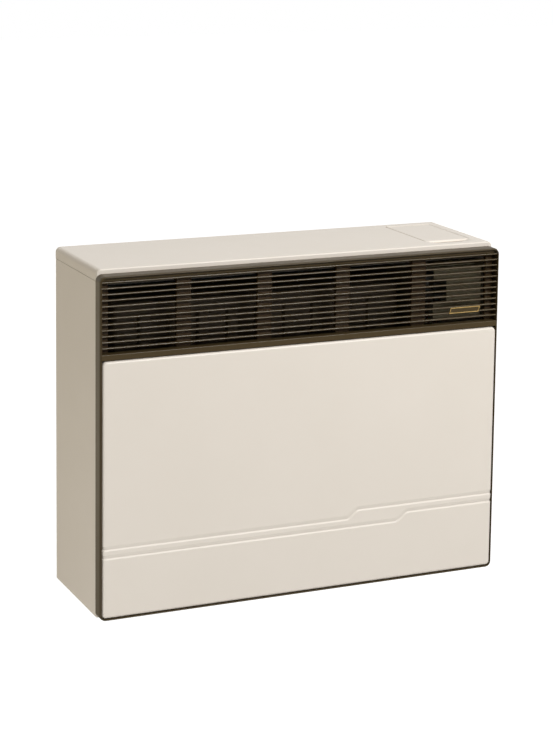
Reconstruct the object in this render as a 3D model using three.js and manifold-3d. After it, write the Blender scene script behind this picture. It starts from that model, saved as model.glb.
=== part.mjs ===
// A wall mounted gas convector heater with a balanced flue.
//
// Millimetres. x runs to the right, y back to the wall and z up. The wall is the plane y = 0, and heights
// are counted from the lower edge of the case. The heater's own origin is on the wall face, level with its
// two lower fixing screws, so the whole group is let down by fixingHeight at the end.

import * as THREE from "three";
import { mergeVertices } from "three/addons/utils/BufferGeometryUtils.js";
import Module from "manifold-3d";

const wasm = await Module();
wasm.setup();

// ---------------------------------------------------------------- driving dimensions

const caseWidth = 740;
const caseDepth = 240;
const lidTop = 589;
const fixingHeight = 60;
const sheet = 1.2; // pressed steel sheet
const fit = 0.3; // between pieces that touch
const shaftFit = 0.2; // round a turning or sliding shaft

const lidAboveFrame = 8;
const frameHeight = lidTop - lidAboveFrame;
const frameDepth = 24;
const frameCorner = 11;
const rimWall = 3;
const flangeWidth = 14; // the frame's back flange, from the outside of the rim
const flangeSheet = 1.5;
const frameLipHeight = 9.2;
const frameLipSetback = 6;

const panelSideGap = 1.5;
const panelBottomGap = 2.6;
const panelTopGap = 1;
const panelRoll = 5; // radius of its rolled edges
const panelCornerLow = 7;
const panelCornerHigh = 9;
const grooveWidth = 9;
const grooveDepth = 2.2;
const upperGrooveHeight = 121.9;
const upperGrooveStep = [82.9, 99.8, 14.5]; // where it bends up, where it ends, and the rise
const lowerGrooveHeight = 106.9;
const lowerGrooveStep = [177.4, 196.8, 15];

const slatCount = 12;
const slatPitch = 9.92;
const firstSlatDrop = 10.6; // below the top of the frame
const crossbarHeight = 10.2;
const crossbarLow = frameHeight - firstSlatDrop - slatCount * slatPitch - crossbarHeight;
const slatNose = 2.5;
const slatBlade = 1.2;
const slatReach = 15;
const slatDroop = 8; // degrees
const slatSetback = 2;
const slatEndGap = 0.6;
const pillarCount = 4;
const pillarPitch = 145.8;
const pillarWidth = 27;
const pillarSetback = 16;
const endStripWidth = 13;
const endStripInset = 10;

const badgeSize = [58, 10, 1.2];
const badgeFromSide = 67;
const badgeFromTop = 105.7;
const badgeSlant = 3;

const sideInset = 2;
const lidSkirt = 20;
const seamHeight = lidTop - lidSkirt;
const bendRadius = 3;
const sideFrontFlange = 12;
const sideBackFlange = 15;
const sideBottomFlange = 10;
const tongueHeight = 11;

const lidEdgeRadius = 9;
const lidFrontRadius = 4;

const controlsFromSide = 70;
const controlX = caseWidth / 2 - controlsFromSide; // centre of the flap, the knob and the igniter
const openingWidth = 88;
const openingBack = 19; // from the wall
const recessFront = 201;
const recessLength = 25;
const recessDepth = 5;
const ledgeLength = 9;
const openingFlange = 8;
const flapGap = 1;
const flapNoseRadius = 3;
const hingeFromWall = 24;
const hingeDrop = 3.4;
const barrelRadius = 4.5;
const pinRadius = 1.5;

const plateSheet = 1.5;
const plateMargin = 4;
const plateLow = 8;
const plateDrop = 23; // below the lid's top
const plateHigh = lidTop - plateDrop;
const plateFlange = 12;
const keyholeFromSide = 90;
const keyholeX = caseWidth / 2 - keyholeFromSide;
const keyholeDrop = 89;
const keyholeHeight = lidTop - keyholeDrop;
const keyholeHead = 6;
const keyholeSlot = 3.5;

const flueHeight = 330;
const exhaustRadius = 38;
const airRadius = 60;
const ductWall = 1.5;
const collarWidth = 12;
const airReach = 40; // past the wall plane
const exhaustReach = 55;

const controlBay = 78; // from the partition to the middle of the controls
const partitionX = controlX - controlBay;
const partitionLow = 12;
const partitionFlange = 18;
const shelfDrop = 41;
const shelfHeight = lidTop - shelfDrop;
const bracketFromSide = 20;
const bracketWidth = 95;
const bracketRight = caseWidth / 2 - bracketFromSide;
const bracketHeight = 95;
const bracketLow = shelfHeight - bracketHeight;
const bracketNotch = [26, 40, 20]; // how wide, how high, and how far below the shelf
const controlsFront = 212; // from the wall

const knobFromWall = 120;
const knobSkirtRadius = 21;
const knobGripRadius = 15;
const knobHeight = 22;
const knobRoof = 4; // over its bore
const knobFlutes = 12;
const knobTravel = 4;
const knobLift = knobTravel + 1; // above the shelf
const spindleRadius = 3;
const igniterFromWall = 50;
const igniterRadius = 9;
const igniterButtonRadius = 6;

const chamberFromSide = 45;
const chamberFromPartition = 17;
const chamberLeft = chamberFromSide - caseWidth / 2;
const chamberRight = partitionX - chamberFromPartition;
const chamberLow = 62;
const chamberDrop = 69;
const chamberHigh = lidTop - chamberDrop;
const chamberFront = 176; // from the wall
const chamberBack = 50;
const chamberSheet = 1.5;
const chamberCorner = 8;
const ribCount = 9;
const ribWidth = 22;
const ribLow = 222;
const ribInset = 20;
const ribHigh = chamberHigh - ribInset;
const ribProud = 8;

const doorWidth = 320;
const doorInset = 15;
const doorRight = chamberRight - doorInset;
const doorLeft = doorRight - doorWidth;
const doorLow = 78;
const doorHigh = 200;
const doorSheet = 2;
const gasketWidth = 10;
const gasketThickness = 1.5;
const glassFromDoor = 90;
const glassX = doorLeft + glassFromDoor;
const glassHeight = 140;
const glassRadius = 19;
const glassThickness = 2;
const glassFrameRadius = 25;

const burnerFromWall = 110;
const burnerHeight = 128;
const burnerRadius = 16;
const burnerWall = 1.5;
const burnerInset = 45;
const burnerLeft = chamberLeft + burnerInset;
const burnerMouthInset = 55;
const burnerRight = chamberRight - burnerMouthInset;
const burnerSlots = 12;
const saddleInset = 40;
const saddleReach = 80;
const saddleHalfWidth = 21;
const saddleSheet = 2;

const shieldFront = 204;
const shieldLow = chamberLow;
const shieldDrop = 88;
const shieldHigh = chamberHigh - shieldDrop;
const shieldInset = 12;

const inletTail = 10; // radius
const inletBore = 6;
const inletHexagon = 14;
const inletSeat = 26; // its bracket above its lower end
const inletTop = 40;
const supplyRadius = 6.5;
const burnerPipeRadius = 5;
const pilotPipeRadius = 2.5;

// ---------------------------------------------------------------- planes shared by several pieces

const front = -caseDepth;
const rimInside = caseWidth / 2 - rimWall;
const flangeFront = front + frameDepth - flangeSheet;
const frameBack = front + frameDepth;
const bodyFront = frameBack + fit; // where sides and lid begin behind the frame
const plateFront = -plateSheet;
const bodyBack = plateFront - fit; // where pieces seat on the back plate
const sideX = caseWidth / 2 - sideInset;
const sideInside = sideX - sheet;
const openingLeft = controlX - openingWidth / 2;
const openingRight = controlX + openingWidth / 2;
const recessFloor = lidTop - recessDepth;
const hingeHeight = lidTop - hingeDrop;
const slatFront = front + slatSetback;
const pillarFront = front + pillarSetback;
const pillarBack = flangeFront - fit;
const shelfUnder = shelfHeight - sheet;
const knobY = -knobFromWall;
const igniterY = -igniterFromWall;
const burnerY = -burnerFromWall;

// ---------------------------------------------------------------- making and joining solids

const X = new THREE.Vector3(1, 0, 0);
const Y = new THREE.Vector3(0, 1, 0);
const Z = new THREE.Vector3(0, 0, 1);

// Each turns a flat outline and its extrusion to run along one axis: y and z, x and z, or x and y outlines.
const ALONG = {
  x: new THREE.Matrix4().makeBasis(Y, Z, X),
  y: new THREE.Matrix4().makeBasis(X, Z, Y.clone().negate()),
  z: new THREE.Matrix4(),
};

function solid(geometry) {
  const bare = geometry.index ? geometry.toNonIndexed() : geometry.clone();
  bare.deleteAttribute("normal");
  bare.deleteAttribute("uv");
  const merged = mergeVertices(bare, 1e-4);
  return new wasm.Manifold(
    new wasm.Mesh({
      numProp: 3,
      vertProperties: merged.attributes.position.array,
      triVerts: new Uint32Array(merged.index.array),
    }),
  );
}

function join(first, ...others) {
  return others.reduce((whole, other) => whole.add(other), first);
}

function cut(first, ...others) {
  return others.reduce((whole, other) => whole.subtract(other), first);
}

function box(x0, x1, y0, y1, z0, z1) {
  const geometry = new THREE.BoxGeometry(x1 - x0, y1 - y0, z1 - z0);
  return solid(geometry.translate((x0 + x1) / 2, (y0 + y1) / 2, (z0 + z1) / 2));
}

// An outline pushed along an axis. A round makes both ends swell in from a smaller outline, over its depth.
function extrude(shape, axis, from, to, { round = 0, depth = round, arc = 3, steps = 3 } = {}) {
  const geometry = new THREE.ExtrudeGeometry(shape, {
    depth: to - from - 2 * depth,
    bevelEnabled: round > 0,
    bevelSize: round,
    bevelOffset: -round,
    bevelThickness: depth,
    bevelSegments: steps,
    curveSegments: arc,
  });
  geometry.applyMatrix4(ALONG[axis]);
  const start = axis === "y" ? -(to - depth) : from + depth;
  const move = { x: X, y: Y.clone().negate(), z: Z }[axis].clone().multiplyScalar(start);
  return solid(geometry.translate(move.x, move.y, move.z));
}

function roundedRect(x0, x1, y0, y1, low, high = low) {
  const quarter = Math.PI / 2;
  return new THREE.Shape()
    .moveTo(x0 + low, y0)
    .absarc(x1 - low, y0 + low, low, -quarter, 0)
    .absarc(x1 - high, y1 - high, high, 0, quarter)
    .absarc(x0 + high, y1 - high, high, quarter, 2 * quarter)
    .absarc(x0 + low, y0 + low, low, 2 * quarter, 3 * quarter);
}

function polygon(points) {
  return new THREE.Shape(points.map(([a, b]) => new THREE.Vector2(a, b)));
}

// A round bar along an axis; a and b are its place on the other two axes, in x, y, z order.
function rod(axis, a, b, radius, from, to, { sides = 24, endRadius = radius } = {}) {
  const geometry = new THREE.CylinderGeometry(endRadius, radius, to - from, sides);
  const middle = (from + to) / 2;
  if (axis === "x") geometry.rotateZ(-Math.PI / 2).translate(middle, a, b);
  if (axis === "y") geometry.translate(a, middle, b);
  if (axis === "z") geometry.rotateX(Math.PI / 2).translate(a, b, middle);
  return solid(geometry);
}

function ring(axis, a, b, outer, inner, from, to, { sides = 24 } = {}) {
  return cut(rod(axis, a, b, outer, from, to, { sides }), rod(axis, a, b, inner, from - 1, to + 1, { sides }));
}

// A line through its points that is sampled at just those points, so that a pipe has a ring at each.
class Route extends THREE.Curve {
  constructor(points) {
    super();
    this.points = points;
  }

  getPointAt(u) {
    return this.points[Math.round(u * (this.points.length - 1))].clone();
  }

  getTangentAt(u) {
    const i = Math.round(u * (this.points.length - 1));
    const direction = (from, to) => to.clone().sub(from).normalize();
    const into = i > 0 ? direction(this.points[i - 1], this.points[i]) : new THREE.Vector3();
    const out = i < this.points.length - 1 ? direction(this.points[i], this.points[i + 1]) : new THREE.Vector3();
    return into.add(out).normalize();
  }
}

// A bent pipe: straight runs between the corners, with an easy bend at each inner corner.
function pipe(corners, radius, bend, sides = 8) {
  const ends = corners.map((corner) => new THREE.Vector3(...corner));
  const bends = ends.slice(1, -1).flatMap((corner, i) => {
    const before = corner.clone().add(ends[i].clone().sub(corner).setLength(bend));
    const after = corner.clone().add(ends[i + 2].clone().sub(corner).setLength(bend));
    return new THREE.QuadraticBezierCurve3(before, corner, after).getPoints(3);
  });
  const extrudePath = new Route([ends[0], ...bends, ends.at(-1)]);
  const section = new THREE.Shape().absarc(0, 0, radius, 0, 2 * Math.PI);
  const steps = extrudePath.points.length - 1;
  return solid(new THREE.ExtrudeGeometry(section, { extrudePath, steps, curveSegments: sides / 2 }));
}

function material(color, roughness, metalness) {
  return () => new THREE.MeshStandardMaterial({ color, roughness, metalness });
}

const creamEnamel = material("#dcd4c6", 0.4, 0);
const brownEnamel = material("#4a4136", 0.45, 0);
const blackEnamel = material("#1c1a18", 0.6, 0);
const galvanised = material("#8d8f8e", 0.45, 0.9);
const plainSteel = material("#7d7c78", 0.4, 0.9);
const castAluminium = material("#9a9a98", 0.5, 0.9);
const brass = material("#b08d4a", 0.35, 0.9);
const copper = material("#b4714b", 0.35, 0.9);
const goldTrim = material("#c9a45a", 0.3, 0.8);
const blackPlastic = material("#1b1b1c", 0.5, 0);
const redPlastic = material("#a3231f", 0.4, 0);
const ceramic = material("#e8e4da", 0.5, 0);
const fibre = material("#c9c4b8", 0.9, 0);
const sightGlass = material("#d8e2de", 0.05, 0);

function part(name, body, finish) {
  const { vertProperties, triVerts } = body.getMesh();
  const geometry = new THREE.BufferGeometry();
  geometry.setAttribute("position", new THREE.BufferAttribute(Float32Array.from(vertProperties), 3));
  geometry.setIndex(new THREE.BufferAttribute(Uint32Array.from(triVerts), 1));
  geometry.computeVertexNormals();
  const mesh = new THREE.Mesh(geometry, finish());
  mesh.name = name;
  return mesh;
}

// ---------------------------------------------------------------- front frame

// A deep rim of brown enamelled steel, with a flange behind it that the sides are screwed to, a lip above
// the grille, and a hollow cross-bar between the grille and the front panel.
function frontFrame() {
  const half = caseWidth / 2;
  const outline = roundedRect(-half, half, 0, frameHeight, frameCorner);
  const insideCorner = frameCorner - rimWall;
  const inside = roundedRect(-rimInside, rimInside, rimWall, frameHeight - rimWall, insideCorner);
  const rim = cut(extrude(outline, "y", front, frameBack), extrude(inside, "y", front - 1, flangeFront));
  const window = box(
    flangeWidth - half, half - flangeWidth,
    flangeFront - 1, frameBack + 1,
    flangeWidth, frameHeight - flangeWidth,
  );
  const lipLow = frameHeight - frameLipHeight;
  const lipFront = front + frameLipSetback;
  const lip = box(
    -rimInside - 1, rimInside + 1,
    lipFront, lipFront + flangeSheet,
    lipLow, frameHeight - rimWall + 0.5,
  );
  const crossbar = cut(
    box(-rimInside - 1, rimInside + 1, front + 0.5, frameBack, crossbarLow, crossbarLow + crossbarHeight),
    box(
      -rimInside, rimInside,
      front + 0.5 + flangeSheet, frameBack + 1,
      crossbarLow + flangeSheet, crossbarLow + crossbarHeight - flangeSheet,
    ),
  );
  const screwHoles = screwPlaces.map(([x, z]) => rod("y", x, z, screwShank + fit, flangeFront - 1, frameBack + 1, { sides: 12 }));
  return cut(join(cut(rim, window), lip, crossbar), ...screwHoles);
}

const screwShank = 1.9;
const screwHead = 3.4;
const screwFromEdge = 10;
const upperScrewDrop = 181;
const screwHeights = [fixingHeight, frameHeight - upperScrewDrop];
const screwPlaces = screwHeights.flatMap((z) => [-1, 1].map((side) => [side * (caseWidth / 2 - screwFromEdge), z]));

// A pan-head screw through the frame's flange into the front flange of a side panel.
function frameScrew(x, z) {
  const seat = flangeFront - fit;
  const shank = rod("y", x, z, screwShank, seat - 0.1, bodyFront + sheet + 4, { sides: 8 });
  const head = rod("y", x, z, screwHead * 0.75, seat - 2.2, seat, { sides: 12, endRadius: screwHead });
  const slot = box(x - screwHead, x + screwHead, seat - 3, seat - 1.4, z - 0.4, z + 0.4);
  return cut(join(shank, head), slot);
}

// ---------------------------------------------------------------- grille

// One long louvre: a rounded nose and a thin blade that droops to the back.
function slatOutline() {
  const nose = slatNose / 2;
  const droop = THREE.MathUtils.degToRad(slatDroop);
  const back = slatFront + slatReach;
  const fall = (slatReach - nose) * Math.tan(droop);
  return new THREE.Shape()
    .moveTo(slatFront + slatNose, nose)
    .absarc(slatFront + nose, 0, nose, Math.PI / 2, 1.5 * Math.PI)
    .lineTo(slatFront + slatNose, nose - slatBlade - nose)
    .lineTo(back, nose - slatBlade - fall)
    .lineTo(back, nose - fall);
}

// A shallow channel whose web carries the louvres and whose legs reach back to the frame's flange.
function pillar(centre, width, low, high) {
  const half = width / 2;
  const channel = polygon([
    [centre - half, pillarFront],
    [centre + half, pillarFront],
    [centre + half, pillarBack],
    [centre + half - sheet, pillarBack],
    [centre + half - sheet, pillarFront + sheet],
    [centre - half + sheet, pillarFront + sheet],
    [centre - half + sheet, pillarBack],
    [centre - half, pillarBack],
  ]);
  return extrude(channel, "z", low, high);
}

function grille() {
  const low = crossbarLow + crossbarHeight + fit;
  const high = frameHeight - rimWall - fit;
  const stripCentre = caseWidth / 2 - endStripInset - endStripWidth / 2;
  const pillars = Array.from({ length: pillarCount }, (_, i) =>
    pillar((i - (pillarCount - 1) / 2) * pillarPitch, pillarWidth, low, high),
  );
  const strips = [-1, 1].map((side) => pillar(side * stripCentre, endStripWidth, low, high));
  const end = rimInside - slatEndGap;
  const slats = Array.from({ length: slatCount }, (_, i) =>
    extrude(slatOutline(), "x", -end, end).translate(
      0, 0, frameHeight - firstSlatDrop - i * slatPitch,
    ),
  );
  return join(...pillars, ...strips, ...slats);
}

// A bare slanted trim bar, fixed to the front of the louvres.
function badgeBar() {
  const [width, height, thickness] = badgeSize;
  const x = caseWidth / 2 - badgeFromSide;
  const z = frameHeight - badgeFromTop;
  const outline = polygon([
    [x - width / 2 - badgeSlant / 2, z - height / 2],
    [x + width / 2 - badgeSlant / 2, z - height / 2],
    [x + width / 2 + badgeSlant / 2, z + height / 2],
    [x - width / 2 + badgeSlant / 2, z + height / 2],
  ]);
  const back = slatFront - fit;
  return extrude(outline, "y", back - thickness, back, { round: 0.4, steps: 1 });
}

// ---------------------------------------------------------------- front panel

const panelLeft = -(rimInside - panelSideGap);
const panelLow = rimWall + panelBottomGap;
const panelHigh = crossbarLow - panelTopGap;
const panelBack = flangeFront - fit;

// The closed body between the panel's outline and its open back, drawn in by inset on every face.
function panelBody(inset, back) {
  const outline = roundedRect(
    panelLeft + inset, -panelLeft - inset,
    panelLow + inset, panelHigh - inset,
    panelCornerLow - inset, panelCornerHigh - inset,
  );
  const round = panelRoll - inset;
  const whole = extrude(outline, "y", front + inset, back + 2 * round, { round });
  return cut(whole, box(-caseWidth, caseWidth, back, back + 3 * round, -1, frameHeight));
}

// A pressed groove that runs level, climbs a slanted step, and runs level again out of the other edge.
function groove(height, [stepStart, stepEnd, rise], grow) {
  const half = grooveWidth / 2 + grow;
  const shift = half * Math.tan(Math.atan2(rise, stepEnd - stepStart) / 2);
  const outside = caseWidth / 2 + 10;
  const outline = polygon([
    [-outside, height - half],
    [stepStart + shift, height - half],
    [stepEnd + shift, height + rise - half],
    [outside, height + rise - half],
    [outside, height + rise + half],
    [stepEnd - shift, height + rise + half],
    [stepStart - shift, height + half],
    [-outside, height + half],
  ]);
  const depth = grooveDepth + grow;
  return extrude(outline, "y", front - 2 * depth, front + depth, { round: half * 0.7, depth });
}

function frontPanel() {
  const grooves = (grow) => [
    groove(upperGrooveHeight, upperGrooveStep, grow),
    groove(lowerGrooveHeight, lowerGrooveStep, grow),
  ];
  const hollow = cut(panelBody(sheet, panelBack + 1), ...grooves(sheet));
  return cut(panelBody(0, panelBack), ...grooves(0), hollow);
}

const clipHeight = 240;
const clipLength = 22;
const clipSheet = 0.8;

// A spring clip on the frame's flange: its bowed arm grips the inside of the panel's edge.
function panelClip() {
  const wall = -panelLeft - sheet - fit;
  const foot = flangeFront - fit;
  const arm = polygon([
    [wall - 7, foot],
    [wall - 7, foot - clipSheet],
    [wall - 1 - clipSheet, foot - clipSheet],
    [wall - 1 - clipSheet, foot - 6],
    [wall - clipSheet, foot - 9],
    [wall - 1 - clipSheet, foot - 13],
    [wall - 1, foot - 13],
    [wall, foot - 9],
    [wall - 1, foot - 6],
    [wall - 1, foot],
  ]);
  return extrude(arm, "z", clipHeight - clipLength / 2, clipHeight + clipLength / 2);
}

// ---------------------------------------------------------------- sides and lid

// The left side panel: a sheet bent in at the front, back and bottom, with a tongue that the lid drops over.
function sidePanel() {
  const high = seamHeight - fit;
  const outer = sideOutline(0);
  const inner = sideOutline(sheet);
  const wrap = cut(extrude(outer, "z", 0, high, { arc: 4 }), extrude(inner, "z", sheet, high + 1, { arc: 4 }));
  const mouth = box(
    sideBottomFlange - sideX, 0,
    bodyFront + sideFrontFlange, bodyBack - sideBackFlange,
    -1, sheet + 1,
  );
  const inside = box(
    Math.max(sideFrontFlange, sideBackFlange) - sideX, 0,
    bodyFront - 1, bodyBack + 1,
    -1, high + 1,
  );
  const frontMouth = box(sideFrontFlange - sideX, 0, bodyFront - 1, bodyFront + 2 * bendRadius, -1, high + 1);
  const tongueFoot = seamHeight - 13;
  const tongue = polygon([
    [-sideInside - 0.1, tongueFoot],
    [-sideInside + fit + sheet, tongueFoot],
    [-sideInside + fit + sheet, seamHeight + tongueHeight],
    [-sideInside + fit, seamHeight + tongueHeight],
    [-sideInside + fit, high],
    [-sideInside - 0.1, high],
  ]);
  const tongueBody = extrude(tongue, "y", bodyFront + sideFrontFlange, bodyBack - sideBackFlange);
  const holes = screwPlaces
    .filter(([x]) => x < 0)
    .map(([x, z]) => rod("y", x, z, screwShank + fit, bodyFront - 1, bodyFront + sheet + 1, { sides: 12 }));
  return cut(join(cut(wrap, mouth, inside, frontMouth), tongueBody), ...holes);
}

// The side panel's plan, with its two bends rounded; inset draws it in to the sheet's inner face.
function sideOutline(inset) {
  const left = -sideX + inset;
  const right = left + 40;
  const radius = bendRadius - inset;
  const near = bodyFront + inset;
  const far = bodyBack - inset;
  return new THREE.Shape()
    .moveTo(right, near)
    .lineTo(right, far)
    .absarc(left + radius, far - radius, radius, Math.PI / 2, Math.PI)
    .absarc(left + radius, near + radius, radius, Math.PI, 1.5 * Math.PI);
}

// The lid's body as the overlap of its front view and its side view, drawn in by inset.
function lidBody(inset, low) {
  const half = sideX - inset;
  const top = lidTop - inset;
  const edge = lidEdgeRadius - inset;
  const frontRound = lidFrontRadius - inset;
  const near = bodyFront + inset;
  const far = bodyBack - inset;
  const frontView = new THREE.Shape()
    .moveTo(-half, low)
    .lineTo(half, low)
    .absarc(half - edge, top - edge, edge, 0, Math.PI / 2)
    .absarc(edge - half, top - edge, edge, Math.PI / 2, Math.PI);
  const sideView = new THREE.Shape()
    .moveTo(near, low)
    .lineTo(far, low)
    .lineTo(far, top)
    .absarc(near + frontRound, top - frontRound, frontRound, Math.PI / 2, Math.PI);
  return extrude(frontView, "y", near, far).intersect(extrude(sideView, "x", -half, half));
}

// The lid, with the opening over the controls: turned-down edges, and a finger recess with a ledge in front.
function topLid() {
  const shell = cut(lidBody(0, seamHeight), lidBody(sheet, seamHeight - 1));
  const back = -openingBack;
  const ledgeEnd = recessLength + ledgeLength - recessFront;
  const opening = box(openingLeft, openingRight, -recessFront, back, lidTop - 2 * sheet, lidTop + 1);
  const well = cut(
    box(
      openingLeft - sheet, openingRight + sheet,
      -recessFront - sheet, back + sheet,
      lidTop - openingFlange, lidTop - sheet / 2,
    ),
    box(openingLeft, openingRight, -recessFront, back, recessFloor, lidTop),
    box(openingLeft, openingRight, ledgeEnd, back, lidTop - openingFlange - 1, lidTop),
    box(
      openingLeft - 2 * sheet, openingRight + 2 * sheet,
      -recessFront - 2 * sheet, ledgeEnd,
      lidTop - openingFlange - 1, recessFloor - sheet,
    ),
  );
  const pinHole = rod(
    "x", -hingeFromWall, hingeHeight, pinRadius + fit,
    openingLeft - 2 * sheet, openingRight + 2 * sheet, { sides: 16 },
  );
  return cut(join(cut(shell, opening), well), pinHole);
}

// The flap over the controls: a shallow pan with a rounded nose, rolled round its hinge pin at the back.
function controlFlap() {
  const low = recessFloor + fit;
  const pan = (inset) => {
    const near = recessLength - recessFront + inset;
    const radius = flapNoseRadius - inset;
    const sideView = new THREE.Shape()
      .moveTo(near, low - inset)
      .lineTo(-hingeFromWall - inset, low - inset)
      .lineTo(-hingeFromWall - inset, lidTop - inset)
      .absarc(near + radius, lidTop - inset - radius, radius, Math.PI / 2, Math.PI);
    return extrude(sideView, "x", openingLeft + flapGap + inset, openingRight - flapGap - inset);
  };
  const barrel = rod(
    "x", -hingeFromWall, hingeHeight, barrelRadius,
    openingLeft + flapGap, openingRight - flapGap,
  );
  const bore = rod(
    "x", -hingeFromWall, hingeHeight, pinRadius + shaftFit,
    openingLeft, openingRight, { sides: 16 },
  );
  return cut(join(cut(pan(0), pan(sheet)), barrel), bore);
}

function flapHingePin() {
  const flange = openingRight + sheet + fit;
  const shaft = rod("x", -hingeFromWall, hingeHeight, pinRadius, openingLeft - 2 * sheet, flange + 0.5, { sides: 16 });
  const head = rod("x", -hingeFromWall, hingeHeight, pinRadius + 0.5, flange, flange + 1.5, { sides: 16 });
  return join(shaft, head);
}

// ---------------------------------------------------------------- back plate and structure

// The plate that is screwed to the wall: two keyholes, two lower screw holes and the hole for the flue.
function backPlate() {
  const half = sideX - plateMargin + sideInset;
  const plate = box(-half, half, plateFront, 0, plateLow, plateHigh);
  const flangeLength = half - sideBackFlange;
  const flanges = [plateLow, plateHigh - plateSheet].map((z) =>
    box(-flangeLength, flangeLength, -plateFlange, -plateSheet / 2, z, z + plateSheet),
  );
  const keyholes = [-keyholeX, keyholeX].map((x) =>
    join(
      rod("y", x, keyholeHeight, keyholeHead, plateFront - 1, 1, { sides: 12 }),
      box(x - keyholeSlot, x + keyholeSlot, plateFront - 1, 1, keyholeHeight, keyholeHeight + 2 * keyholeHead),
      rod("y", x, keyholeHeight + 2 * keyholeHead, keyholeSlot, plateFront - 1, 1, { sides: 12 }),
    ),
  );
  const lowerHoles = [-keyholeX, keyholeX].map((x) =>
    rod("y", x, fixingHeight, keyholeSlot, plateFront - 1, 1, { sides: 12 }),
  );
  const flueHole = rod("y", 0, flueHeight, airRadius + fit, plateFront - 1, 1, { sides: 32 });
  return cut(join(plate, ...flanges), ...keyholes, ...lowerHoles, flueHole);
}

// The wall of sheet between the hot side and the controls, with a flange at each end and holes for pipes.
function partition() {
  const high = plateHigh - plateSheet - 4;
  const frontY = -controlsFront;
  const plan = polygon([
    [partitionX, frontY],
    [partitionX + partitionFlange, frontY],
    [partitionX + partitionFlange, frontY + sheet],
    [partitionX + sheet, frontY + sheet],
    [partitionX + sheet, bodyBack - sheet],
    [partitionX + sideBackFlange, bodyBack - sheet],
    [partitionX + sideBackFlange, bodyBack],
    [partitionX, bodyBack],
  ]);
  return cut(extrude(plan, "z", partitionLow, high), ...pipeHoles(partitionX - 2, partitionX + sheet + 2));
}

// The angle along the bottom of the front that ties the two sides together.
function bottomRail() {
  const rearOfFlange = bodyFront + sheet + fit;
  const foot = sheet + fit;
  const angle = polygon([
    [rearOfFlange, foot],
    [rearOfFlange + 24, foot],
    [rearOfFlange + 24, foot + sheet],
    [rearOfFlange + sheet, foot + sheet],
    [rearOfFlange + sheet, foot + 28],
    [rearOfFlange, foot + 28],
  ]);
  const reach = sideInside - 2;
  return extrude(angle, "x", -reach, reach);
}

const deflectorGap = 12; // over the exchanger
const deflectorSetback = 10;
const deflectorDrop = 14;
const deflectorNose = 14;
const deflectorFlange = 16;

// The sloping sheet under the lid that turns the warm air out through the grille.
function airDeflector() {
  const thickness = 1;
  const rear = bodyBack;
  const low = chamberHigh + deflectorGap;
  const nose = frameBack + deflectorSetback;
  const high = lidTop - deflectorDrop;
  const slope = polygon([
    [rear, low - deflectorFlange],
    [rear, low],
    [nose + deflectorNose, high],
    [nose, high],
    [nose, high - thickness],
    [nose + deflectorNose, high - thickness],
    [rear - thickness, low - thickness],
    [rear - thickness, low - deflectorFlange],
  ]);
  return extrude(slope, "x", sideBackFlange - sideX + fit, partitionX - fit);
}

// ---------------------------------------------------------------- heat exchanger

// The closed body of the exchanger with its pressed ribs, drawn in by inset.
function exchangerBody(inset) {
  const back = -chamberBack - inset;
  const near = -chamberFront + inset;
  const plan = roundedRect(chamberLeft + inset, chamberRight - inset, near, back, chamberCorner - inset);
  const body = extrude(plan, "z", chamberLow + inset, chamberHigh - inset, { arc: 3 });
  const pitch = (chamberRight - chamberLeft) / (ribCount + 1);
  const ribs = Array.from({ length: ribCount }, (_, i) => {
    const x = chamberLeft + (i + 1) * pitch;
    const half = ribWidth / 2 - inset;
    const outline = polygon([
      [x - half, ribLow + inset],
      [x + half, ribLow + inset],
      [x + half, ribHigh - inset],
      [x - half, ribHigh - inset],
    ]);
    const swell = { round: half * 0.6, depth: ribProud - 1, steps: 2 };
    return extrude(outline, "y", near - ribProud, near + 2 * ribProud, swell);
  });
  return join(body, ...ribs);
}

function heatExchanger() {
  const backWall = -chamberBack - chamberSheet;
  const exhaustHole = rod("y", 0, flueHeight, exhaustRadius - ductWall, backWall - 1, 1 - chamberBack, { sides: 32 });
  const airSlot = box(-airBoxReach + 14, airBoxReach - 14, backWall - 1, 1 - chamberBack, airBoxLow + 14, airBoxLow + 54);
  const inside = gasketWidth;
  const doorway = box(
    doorLeft + inside, doorRight - inside,
    -chamberFront - 1, -chamberFront + chamberSheet + 1,
    doorLow + inside, doorHigh - inside,
  );
  const holes = pipeHoles(chamberRight - chamberSheet - 2, chamberRight + 2);
  return cut(exchangerBody(0), exchangerBody(chamberSheet), exhaustHole, airSlot, doorway, ...holes);
}

const doorGasketFront = -chamberFront - fit - gasketThickness;
const doorFront = doorGasketFront - fit - doorSheet;

function burnerDoorGasket() {
  const outer = roundedRect(doorLeft, doorRight, doorLow, doorHigh, 8);
  const hole = roundedRect(
    doorLeft + gasketWidth, doorRight - gasketWidth,
    doorLow + gasketWidth, doorHigh - gasketWidth, 4,
  );
  outer.holes.push(hole);
  return extrude(outer, "y", doorGasketFront, doorGasketFront + gasketThickness, { arc: 3 });
}

// The plate that closes the burner's doorway, dished along its edge and pierced for the sight glass.
function burnerDoor() {
  const outline = roundedRect(doorLeft, doorRight, doorLow, doorHigh, 8);
  const plate = extrude(outline, "y", doorFront, doorFront + doorSheet, { arc: 3 });
  const boss = extrude(
    roundedRect(doorLeft + 16, doorRight - 16, doorLow + 16, doorHigh - 16, 8),
    "y", doorFront - 1.5, doorFront + 0.5, { arc: 3 },
  );
  const hole = rod("y", glassX, glassHeight, glassRadius - 4, doorFront - 3, doorFront + doorSheet + 1);
  return cut(join(plate, boss), hole);
}

const glassBack = doorFront - 1.5 - fit;
const glassFront = glassBack - glassThickness;

function sightGlassDisc() {
  return rod("y", glassX, glassHeight, glassRadius, glassFront, glassBack);
}

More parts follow.
